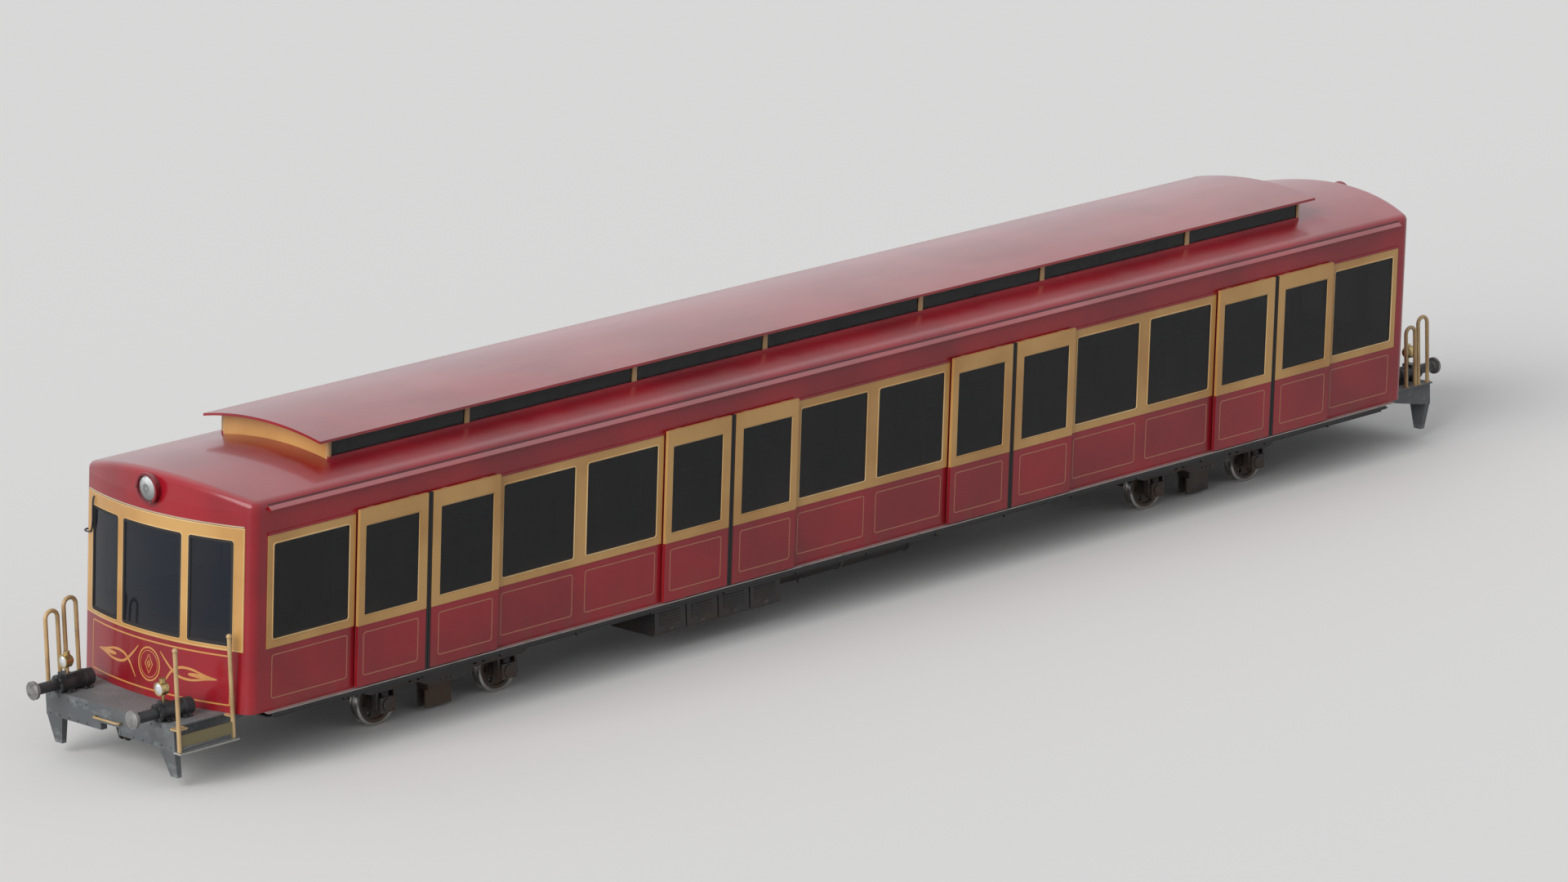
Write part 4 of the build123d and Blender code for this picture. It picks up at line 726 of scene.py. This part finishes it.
dress(sill_metal(), "thresholds")
dress(rail_paint(), "door_rails")
dress(lamp_case(), "lamp_housings")
dress(lamp_glass(), "lamp_lenses")
dress(floor_rubber(), "floor")
dress(bench_wood(), "benches")
dress(pole_steel(), "grab_poles")
dress(desk_finish, "control_desks")
dress(step_plate(), "steps")

# Mouldings, painted lines and glazing rubbers: their sections, and how far out from a light's edge they run
stripe = pinstripe("stripe_gold", plain(216, 154, 84), plain(190, 126, 66))
# The sides' lining is a darker, redder copy of the ends' gold: painted shade.
shaded_side_stripe = pinstripe("shaded_side_stripe", plain(190, 128, 90), plain(164, 98, 72))
# The beads are a paler gold than the frames: a painted highlight.
rubber, bead_highlight_paint = rubbered_finish(), gold_frame("bead_highlight_paint", GOLD_HIGHLIGHT, GOLD)
LINE_Z, LINE_RADIUS, LINE = (0.872, 1.348), 0.030, band(0.011, 0.0012)
SEAL, SEAL_OUT = band(0.013, 0.005), -0.006
BEAD, BEAD_OUT, PROUD = moulding(0.016, 0.006), 0.008, 0.008
LEAF_BEAD, LEAF_BEAD_OUT = moulding(0.012, 0.011), -0.006
LEAF_SEAL, LEAF_SEAL_OUT = band(0.010, 0.005), -0.016
GASKET, GASKET_OUT, GASKET_RADIUS = band(0.030, 0.004), 0.007, 0.017
END_BEAD, END_BEAD_OUT, END_BEAD_RADIUS = moulding(0.012, 0.006), 0.028, 0.036
BOW_STEP = 0.05


def line_box(skin, a0, a1, z0, z1, radius, section, step=9.0):
    """A band along a rounded box drawn on a skin."""
    outline = rounded_box(a0, a1, z0, z1, radius, step=step)
    return carried(*skin(outline[:, 0], outline[:, 1]), section)


def light_box(skin, light, heights, out, section, radius=None, step=9.0):
    """A band round a light, out beyond its edge, or inside it where out is below nought."""
    sides = light[0] - out, light[1] + out, heights[0] - out, heights[1] + out
    return line_box(skin, *sides, radius or LIGHT_RADIUS + out, section, step)


for word, side in SIDES:
    skin, frame_skin = side_skin(side * SIDE), side_skin(side * (SIDE + PROUD))
    heights = (GLASS_Z, SIDE_GLASS_TOP)
    lines = [line_box(skin, *light, *LINE_Z, LINE_RADIUS, LINE) for light in LIGHTS]
    piece(f"side_lines_{word}", "car_body", shaded_side_stripe, lines)
    seals = [light_box(skin, light, heights, SEAL_OUT, SEAL) for light in LIGHTS]
    piece(f"side_glazing_{word}", "car_body", rubber, seals)
    beads = [light_box(frame_skin, light, heights, BEAD_OUT, BEAD) for light in LIGHTS]
    piece(f"side_beads_{word}", "car_body", bead_highlight_paint, beads)
    skin, pane_skin = side_skin(side * LEAF_PANEL), side_skin(side * LEAF_PANE[1])
    heights = (GLASS_Z, LEAF_GLASS_TOP)
    for number, centre in enumerate(DOORS, 1):
        for way, toward in ENDS:
            leaf = f"{word}_door_{number}_{way}"
            light = sorted(centre + toward * d for d in LEAF_LIGHT)
            line = line_box(skin, *light, *LINE_Z, LINE_RADIUS, LINE)
            piece(f"leaf_line_{leaf}", leaf, shaded_side_stripe, [line])
            bead = light_box(pane_skin, light, heights, LEAF_BEAD_OUT, LEAF_BEAD)
            piece(f"leaf_bead_{leaf}", leaf, bead_highlight_paint, [bead])
            seal = light_box(pane_skin, light, heights, LEAF_SEAL_OUT, LEAF_SEAL)
            piece(f"leaf_glazing_{leaf}", leaf, rubber, [seal])


def stroke(skin, points, widest):
    """A brush stroke along an eased path, its width a half sine of its length, to the power 0.6."""
    curve = eased(points)
    width = widest * np.maximum(np.sin(np.linspace(0, math.pi, len(curve))), 0.04) ** 0.6
    return carried(*skin(curve[:, 0], curve[:, 1]), band(1.0, PAINT), ring=False, width=width)


# Ends: a lined panel with two rings and two lozenges, each as (half across, half up, width, every nth point
# of the ellipse), and brush strokes beside them, then gaskets and beads round the lights, and a drip rail
EMBLEM_Z, PAINT = 1.104, 0.0014
MEDALLION = [
    (0.178, 0.182, 0.018, 1), (0.144, 0.148, 0.007, 1),
    (0.062, 0.105, 0.014, 12), (0.062 * 0.36, 0.105 * 0.36, 0.018, 12),
]
FLOURISH = [
    ([(0.185, 0.175), (0.26, 0.10), (0.36, 0.01), (0.48, -0.065), (0.68, -0.075), (0.85, -0.035),
      (1.02, -0.02)], 0.028),
    ([(0.235, -0.190), (0.29, -0.11), (0.37, -0.01), (0.48, 0.05), (0.66, 0.055), (0.84, 0.005),
      (1.02, -0.02)], 0.028),
    ([(0.62, -0.01), (0.74, -0.01), (0.96, -0.02)], 0.044),
]
for word, end in ENDS:
    skin, frame_skin = end_skin(end), end_skin(end, PROUD)
    turn = np.arange(48) * math.pi / 24
    marks = [line_box(skin, -1.180, 1.180, 0.824, 1.362, 0.020, band(0.018, PAINT), BOW_STEP)]
    for across, up, width, nth in MEDALLION:
        ellipse = skin(across * np.cos(turn[::nth]), EMBLEM_Z + up * np.sin(turn[::nth]))
        marks.append(carried(*ellipse, band(width, PAINT)))
    for s in (-1, 1):
        for points, width in FLOURISH:
            marks.append(stroke(skin, np.array(points) * [s, 1] + [0, EMBLEM_Z], width))
    piece(f"end_lines_{word}", "car_body", stripe, marks)
    seals = [light_box(skin, light, END_GLASS_Z, SEAL_OUT, SEAL, step=BOW_STEP) for light in END_LIGHTS]
    seals += [light_box(frame_skin, light, END_GLASS_Z, GASKET_OUT, GASKET, GASKET_RADIUS, BOW_STEP)
              for light in END_LIGHTS]
    piece(f"end_glazing_{word}", "car_body", rubber, seals)
    beads = [light_box(frame_skin, light, END_GLASS_Z, END_BEAD_OUT, END_BEAD, END_BEAD_RADIUS, BOW_STEP)
             for light in END_LIGHTS]
    border = (-END_FRAME_HALF, END_FRAME_HALF, *END_FRAME_BEAD)
    beads.append(line_box(frame_skin, *border, 0.004, moulding(0.014, 0.005), BOW_STEP))
    piece(f"end_beads_{word}", "car_body", bead_highlight_paint, beads)
    across = np.linspace(-END_FRAME_HALF, END_FRAME_HALF, 41)
    drip = carried(*skin(across, np.full(41, END_FRAME_TOP + 0.010)), moulding(0.016, 0.014), ring=False)
    piece(f"drip_rail_{word}", "car_body", crimson, [drip])

# Eaves: a moulded gutter whose slanted top holds dust and a painted highlight, and a dark sealed seam of
# painted shade between it and the roof's rim
GUTTER_FOOT, SEAM_RISE, SEAM_FACING = (1.440, 2.955), 0.060, (0.966, 0.259)
# The gutter's pale top is dust and a painted highlight.
gutter_finish = crimson_roof("gutter_dust_and_highlight", CEILING_HALF, 0.44)
seam_shade_finish = gold_frame("eave_seam_shade", SEAM_SHADE, SEAM_SHADE)
for word, side in SIDES:
    lean = LEAN * (EAVE_Z - GLASS_Z)
    feet = np.array([[s * JOINT_X + lean, side * GUTTER_FOOT[0], GUTTER_FOOT[1]] for s in (-1, 1)])
    grid = feet[:, None] + np.stack([0 * GUTTER[:, 0], side * GUTTER[:, 0], GUTTER[:, 1]], 1)
    piece(f"gutter_roll_{word}", "car_body", gutter_finish, [shell(grid)])
    facing = np.tile([0.0, side * SEAM_FACING[0], SEAM_FACING[1]], (2, 1))
    # A dark strip between the gutter and the roof's rim: a seam darkened as painted shade.
    shade_strip = carried(feet + [0, -side * 0.002, SEAM_RISE], facing, band(0.022, 0.003), ring=False)
    piece(f"eave_seam_shade_{word}", "car_body", seam_shade_finish, [shade_strip])

# Lamps: a rolled bezel with three clips round each headlight, a rim and a hood on each marker lamp
BEZEL, CLIP_RADIUS, MARKER_RIM = (0.147, 0.178, 0.016), 0.163, (0.061, 0.079, 0.010)
CLIP = [(0.012, 0.012), (0.026, 0.010), (0.028, 0.004)]
HOOD = [(-0.02, 0.03), (0.0, 0.024), (0.022, 0.010)]
shaded_shell_paint, brass = lamp_case("bezel_shade_paint", 0.0), lamp_case("bezel_brass", 9.0)
iron_bolt = sooty("bolt_iron", plain(92, 90, 88), 0.4)
for word, end in ENDS:
    axis = (end, 0, 0)
    rim = end * (HALF_LENGTH + BOW + HEADLIGHT_OUT) + LEAN * (HEADLIGHT_Z - GLASS_Z)
    middle = np.array([rim, 0, HEADLIGHT_Z])
    bezel = hoop(middle, axis, *BEZEL, 40)
    piece(f"headlight_bezel_{word}", "car_body", shaded_shell_paint, [bezel])
    clips = [turned(CLIP, middle + CLIP_RADIUS * spoke, axis, 8) for spoke in circle(axis, 3)]
    piece(f"headlight_clips_{word}", "car_body", iron_bolt, clips)
    rims = []
    for side in (-1, 1):
        face = np.array([end * (MARKER[0] + 0.055), side * MARKER[1], MARKER[2]])
        rims.append(hoop(face, axis, *MARKER_RIM, 28))
        rims.append(turned(HOOD, face + [-end * 0.05, 0, 0.07], (0, 0, 1), 12))
    piece(f"marker_rims_{word}", "car_body", brass, rims)

# A folded mirror at the downhill end, on an arm that bends round the left corner
bends = [
    (-9.325, 1.188, 2.735), (-9.352, 1.189, 2.715), (-9.372, 1.193, 2.350), (-9.330, 1.330, 2.304),
    (-9.292, 1.458, 2.299), (-9.180, 1.472, 2.296), (-9.090, 1.472, 2.296),
]
mirror_back = bar((-9.110, 1.470, 2.050), (-9.110, 1.470, 2.320), (0, 1, 0), 0.150, 0.018)
piece("mirror", "car_body", frame_paint, [tube(eased(bends), 0.010), mirror_back])

# Buffers: bolts round each collar, a strap over each sleeve, and a bolted bar across each saddle
COLLAR_OUT, COLLAR_BOLTS, STRAP = 0.030, 0.084, (0.094, 0.101, 0.050)
SADDLES, SADDLE_DROP, SADDLE_HALF = (0.100, 0.330), 0.1005, 0.115
for word, end in ENDS:
    heads, straps = [], []
    for side in (-1, 1):
        middle = np.array([0, side * BUFFER[0], BUFFER[1]])
        face = middle + [end * (PLATFORM_X + COLLAR_OUT), 0, 0]
        heads += bolts(face + COLLAR_BOLTS * circle((end, 0, 0), 8), (end, 0, 0), 0.009)
        start = middle + [end * (PLATFORM_X - SADDLES[1]) - STRAP[2] / 2, 0, 0]
        straps.append(hoop(start, (1, 0, 0), *STRAP))
        for back in SADDLES:
            foot = middle + [end * (PLATFORM_X - back), 0, -SADDLE_DROP]
            half = np.array([0, SADDLE_HALF, 0])
            straps.append(bar(foot - half, foot + half, (0, 0, 1), 0.110, 0.012))
            corners = [foot + [a * 0.035, b * 0.096, 0.012] for a in (-1, 1) for b in (-1, 1)]
            heads += bolts(corners, (0, 0, 1), 0.009)
    piece(f"buffer_straps_{word}", "car_body", iron, straps)
    piece(f"buffer_bolts_{word}", "car_body", iron_bolt, heads)

# Beams: rows of bolts, a flat bar round the coupler's pocket, and bolts on the hand loops' feet
POCKET_HALF, POCKET_Z = 0.168, (0.456, 0.558)
LOOPS, LOOP_HALF, LOOP_FOOT_Z = [(-10.076, 1.1), (-9.816, 1.1), (9.846, -1.1), (10.076, -1.1)], 0.084, 0.750
for word, end in ENDS:
    face = end * PLATFORM_X
    row = np.linspace(-1.04, 1.04, 14)
    heads = bolts([(face, y, z) for y in row for z in (0.480, 0.694) if abs(y) > 0.24], (end, 0, 0))
    corners = [(-POCKET_HALF, 0), (-POCKET_HALF, 1), (POCKET_HALF, 1), (POCKET_HALF, 0)]
    path = np.array([(face, y, POCKET_Z[top]) for y, top in corners])
    mitre = np.array([1, 2**0.5, 2**0.5, 1])
    border = carried(path, np.tile([end, 0.0, 0.0], (4, 1)), band(0.030, 0.006), ring=False, width=mitre)
    piece(f"pocket_border_{word}", "car_body", deck, [border])
    piece(f"beam_bolts_{word}", "car_body", deck, heads)
feet = [np.array([x + s * LOOP_HALF, y, LOOP_FOOT_Z]) for x, y in LOOPS for s in (-1, 1)]
places = np.concatenate([foot + 0.0325 * circle((0, 0, 1), 3) for foot in feet])
piece("loop_bolts", "car_body", iron_bolt, bolts(places, (0, 0, 1), 0.0045))

# Underframe: pipes in clips under the side sills, and an air reservoir in three straps between the lockers
PIPES, PIPE_DROP, PIPE_HALF = ((1.345, 0.013), (1.312, 0.008)), 0.018, 9.0
CLIP_BARS = ((1.331, 0.076, 0.006), (1.296, 0.006, 0.038), (1.366, 0.006, 0.038))
CLIP_DROP, CLIP_HALF = 0.037, 0.015
TANK_Y, TANK_Z, TANK_STRAPS = 0.800, 0.470, (-1.12, 0, 1.12)
TANK_END = [(1.150, 0.130), (1.185, 0.115), (1.208, 0.080), (1.216, 0.030)]
COCK = [(-0.05, 0.010), (-0.012, 0.010), (-0.012, 0.022), (0.0, 0.022)]
for word, side in SIDES:
    z = SILL_Z - PIPE_DROP
    pipes = [tube([(-PIPE_HALF, side * y, z), (PIPE_HALF, side * y, z)], radius) for y, radius in PIPES]
    z = SILL_Z - CLIP_DROP
    clips = [
        bar((x - CLIP_HALF, side * y, z), (x + CLIP_HALF, side * y, z), (0, 0, 1), width, height)
        for x in np.arange(-7, 8) * CROSS_PITCH for y, width, height in CLIP_BARS
    ]
    piece(f"sill_pipes_{word}", "car_body", frame_paint, pipes + clips)
    origin = np.array([0, side * TANK_Y, TANK_Z])
    tank = turned([(-x, r) for x, r in TANK_END[::-1]] + TANK_END, origin, (1, 0, 0), 28)
    straps = [hoop(origin + [x - 0.02, 0, 0], (1, 0, 0), 0.129, 0.137, 0.040) for x in TANK_STRAPS]
    hangers = [bar(origin + [x, 0, 0.130], origin + [x, 0, SILL_Z - TANK_Z + 0.002], (1, 0, 0), 0.09, 0.012)
               for x in TANK_STRAPS]
    cock = turned(COCK, origin - [0.6, 0, 0.128], (0, 0, 1), 8)
    piece(f"air_reservoir_{word}", "car_body", frame_paint, [tank, cock])
    piece(f"reservoir_straps_{word}", "car_body", iron_bolt, straps + hangers)

# Lockers, from x0 to x1: on each door two hinges, a latch and pressed louvres
LOCKER_Y, LOCKER_FOOT, HINGE_RISE, LATCH_RISE = 1.252, 0.290, 0.300, 0.055
for node, x0, x1, side, doors in (("battery_box", -3.3, -1.3, -1, 4), ("brake_power_pack", 1.3, 3.1, 1, 3)):
    fittings, louvres = [], []
    out = (0, side, 0)
    wide = (x1 - x0) / doors
    for middle in x0 + wide * (np.arange(doors) + 0.5):
        face = np.array([middle, side * LOCKER_Y, LOCKER_FOOT])
        for s in (-1, 1):
            hinge = face + [s * wide * 0.3, 0, HINGE_RISE]
            fittings.append(bar(hinge - [0.04, 0, 0], hinge + [0.04, 0, 0], out, 0.022, 0.016))
        latch = face + [0, 0, LATCH_RISE]
        fittings.append(bar(latch - [0.035, 0, 0], latch + [0.035, 0, 0], out, 0.034, 0.008))
        fittings += bolts([latch + [0, side * 0.006, 0]], out, 0.012)
        for z in np.arange(5) * 0.034 + 0.115:
            place = np.array([face + [s * wide * 0.32, 0, z] for s in (-1, 1)])
            facing = np.tile([0.0, side, 0.0], (2, 1))
            louvres.append(carried(place, facing, moulding(0.020, 0.008), ring=False))
    piece(f"{node}_fittings", "car_body", iron_bolt, fittings)
    piece(f"{node}_louvres", "car_body", frame_paint, louvres)

# Bogies: bolted axlebox covers and bolster ends, and a hose to each half of the rail brake
AXLEBOX_Y, BOLSTER_Y, BOLSTER_Z = 1.024, 0.985, 0.440
HOSE_START = (0.12, -0.660, 0.330)
HOSE_BENDS = np.array([(0, 0, 0), (0, 0.10, 0), (0, 0.16, -0.06), (0, 0.26, 0.0), (0, 0.27, 0.085)])
for word, end in ENDS:
    heads, hoses = [], []
    for side in (-1, 1):
        out = (0, side, 0)
        for s in (-1, 1):
            cover = np.array([end * BOGIE_X + s * WHEELBASE / 2, side * AXLEBOX_Y, AXLE_Z])
            heads += bolts(cover + 0.056 * circle(out, 6), out, 0.008)
            flange = [cover + [a * 0.090, -side * 0.012, b * 0.072] for a in (-1, 1) for b in (-1, 1)]
            heads += bolts(flange, out, 0.009)
        bolster = np.array([end * BOGIE_X, side * BOLSTER_Y, BOLSTER_Z])
        heads += bolts([bolster + [a * 0.075, 0, b * 0.055] for a in (-1, 0, 1) for b in (-1, 1)], out, 0.012)
        start = np.array([end * BOGIE_X + side * HOSE_START[0], HOSE_START[1], HOSE_START[2]])
        hoses.append(tube(eased(start + HOSE_BENDS), 0.011))
    piece(f"bogie_bolts_{word}", f"bogie_{word}", iron_bolt, heads)
    piece(f"brake_hoses_{word}", f"bogie_{word}", rubber, hoses)

# Inside: a lighting strip along each side of the ceiling, and a console with two handles on each desk
STRIP_X, STRIP_Y, STRIP_Z = (-8.3, 8.4), 1.10, 3.088
CONSOLES, HANDLES = (-0.26, 0.22), (-0.46, 0.48)
KNOB = [(-0.02, 0.008), (-0.012, 0.018), (0.012, 0.018), (0.02, 0.008)]
for word, side in SIDES:
    strip = bar(*[(x, side * STRIP_Y, STRIP_Z) for x in STRIP_X], (0, 0, -1), 0.10, 0.032)
    piece(f"ceiling_strip_{word}", "car_body", shade_white, [strip])
for word, end in ENDS:
    middle = np.array([end * DESK_TOP[0], 0, DESK_TOP[1]])
    spans = [(middle + [0, y - 0.16, 0], middle + [0, y + 0.16, 0]) for y in CONSOLES]
    console = [bar(start, stop, (0, 0, 1), 0.10, 0.075) for start, stop in spans]
    handles = []
    for y in HANDLES:
        foot = middle + [-end * 0.16, y, -0.050]
        top = foot + [-end * 0.02, 0, 0.11]
        handles += [tube([foot, top], 0.008), turned(KNOB, top, (0, 1, 0), 12)]
    piece(f"console_{word}", "car_body", desk_finish, console)
    piece(f"desk_handles_{word}", "car_body", rubber, handles)

# Studio: a wide floor that looks pale but bounces little light, an even pale sky, one broad soft key from the
# front and a weak fill
FLOOR_REACH, FLOOR_LIT, FLOOR_SEEN = 900.0, plain(150, 149, 147), plain(240, 238, 235)
SKY, SKY_LIT, SKY_SEEN = (0.93, 0.96, 1.0, 1.0), 0.44, 0.85
f = Finish("studio_floor")
looking = f.node("ShaderNodeLightPath", output="Is Camera Ray")
rays = looking.socket.node.outputs
mirrored, through = Wire(f, rays["Is Glossy Ray"]), Wire(f, rays["Is Transmission Ray"])
seen = looking.math("MAXIMUM", mirrored).math("MAXIMUM", through)
floor_material = f.cover(f.skin(f.blend(seen, FLOOR_LIT, FLOOR_SEEN), 0.85, Specular_IOR_Level=0.2))
mesh = bpy.data.meshes.new("studio_floor")
corners = [(x * FLOOR_REACH, y * FLOOR_REACH, 0) for x, y in ((-1, -1), (1, -1), (1, 1), (-1, 1))]
mesh.from_pydata(corners, [], [(0, 1, 2, 3)])
mesh.materials.append(floor_material)
studio = bpy.data.objects.new("studio_floor", mesh)
bpy.context.scene.collection.objects.link(studio)

world = bpy.data.worlds.new("studio_sky")
bpy.context.scene.world = world
world.use_nodes = True
tree = world.node_tree
sky, rays = tree.nodes["Background"], tree.nodes.new("ShaderNodeLightPath")
seen, level = tree.nodes.new("ShaderNodeMath"), tree.nodes.new("ShaderNodeMapRange")
sky.inputs["Color"].default_value = SKY
seen.operation = "MAXIMUM"
level.inputs["To Min"].default_value = SKY_LIT
level.inputs["To Max"].default_value = SKY_SEEN
tree.links.new(rays.outputs["Is Camera Ray"], seen.inputs[0])
tree.links.new(rays.outputs["Is Glossy Ray"], seen.inputs[1])
tree.links.new(seen.outputs[0], level.inputs["Value"])
tree.links.new(level.outputs[0], sky.inputs["Strength"])


def soft_sun(name, toward, strength, angle):
    """A broad distant light that shines from toward."""
    light = bpy.data.lights.new(name, "SUN")
    light.energy = strength
    light.angle = math.radians(angle)
    lamp = bpy.data.objects.new(name, light)
    lamp.rotation_euler = Vector(toward).to_track_quat("Z", "Y").to_euler()
    bpy.context.scene.collection.objects.link(lamp)


soft_sun("key", (-0.93, -0.12, 0.48), 2.4, 50)
soft_sun("fill", (0.34, -0.60, 0.73), 0.10, 70)

# The camera stands where the photograph was taken from, and leans a little as it did
eye, aim, upright = Vector((-57.0408, -60.2133, 22.596)), Vector((0.0, 0.0, 1.75)), Vector((0.0364, 0.0, 1.0))
camera_data = bpy.data.cameras.new("camera")
camera_data.lens = 167.0
camera_data.sensor_width = 36.0
camera_data.clip_end = 4000.0
camera = bpy.data.objects.new("camera", camera_data)
ahead = (aim - eye).normalized()
right = ahead.cross(upright).normalized()
above = right.cross(ahead)
camera.matrix_world = Matrix.Translation(eye) @ Matrix((right, above, -ahead)).transposed().to_4x4()
bpy.context.scene.collection.objects.link(camera)
bpy.context.scene.camera = camera

bpy.context.scene.view_settings.view_transform = "Standard"
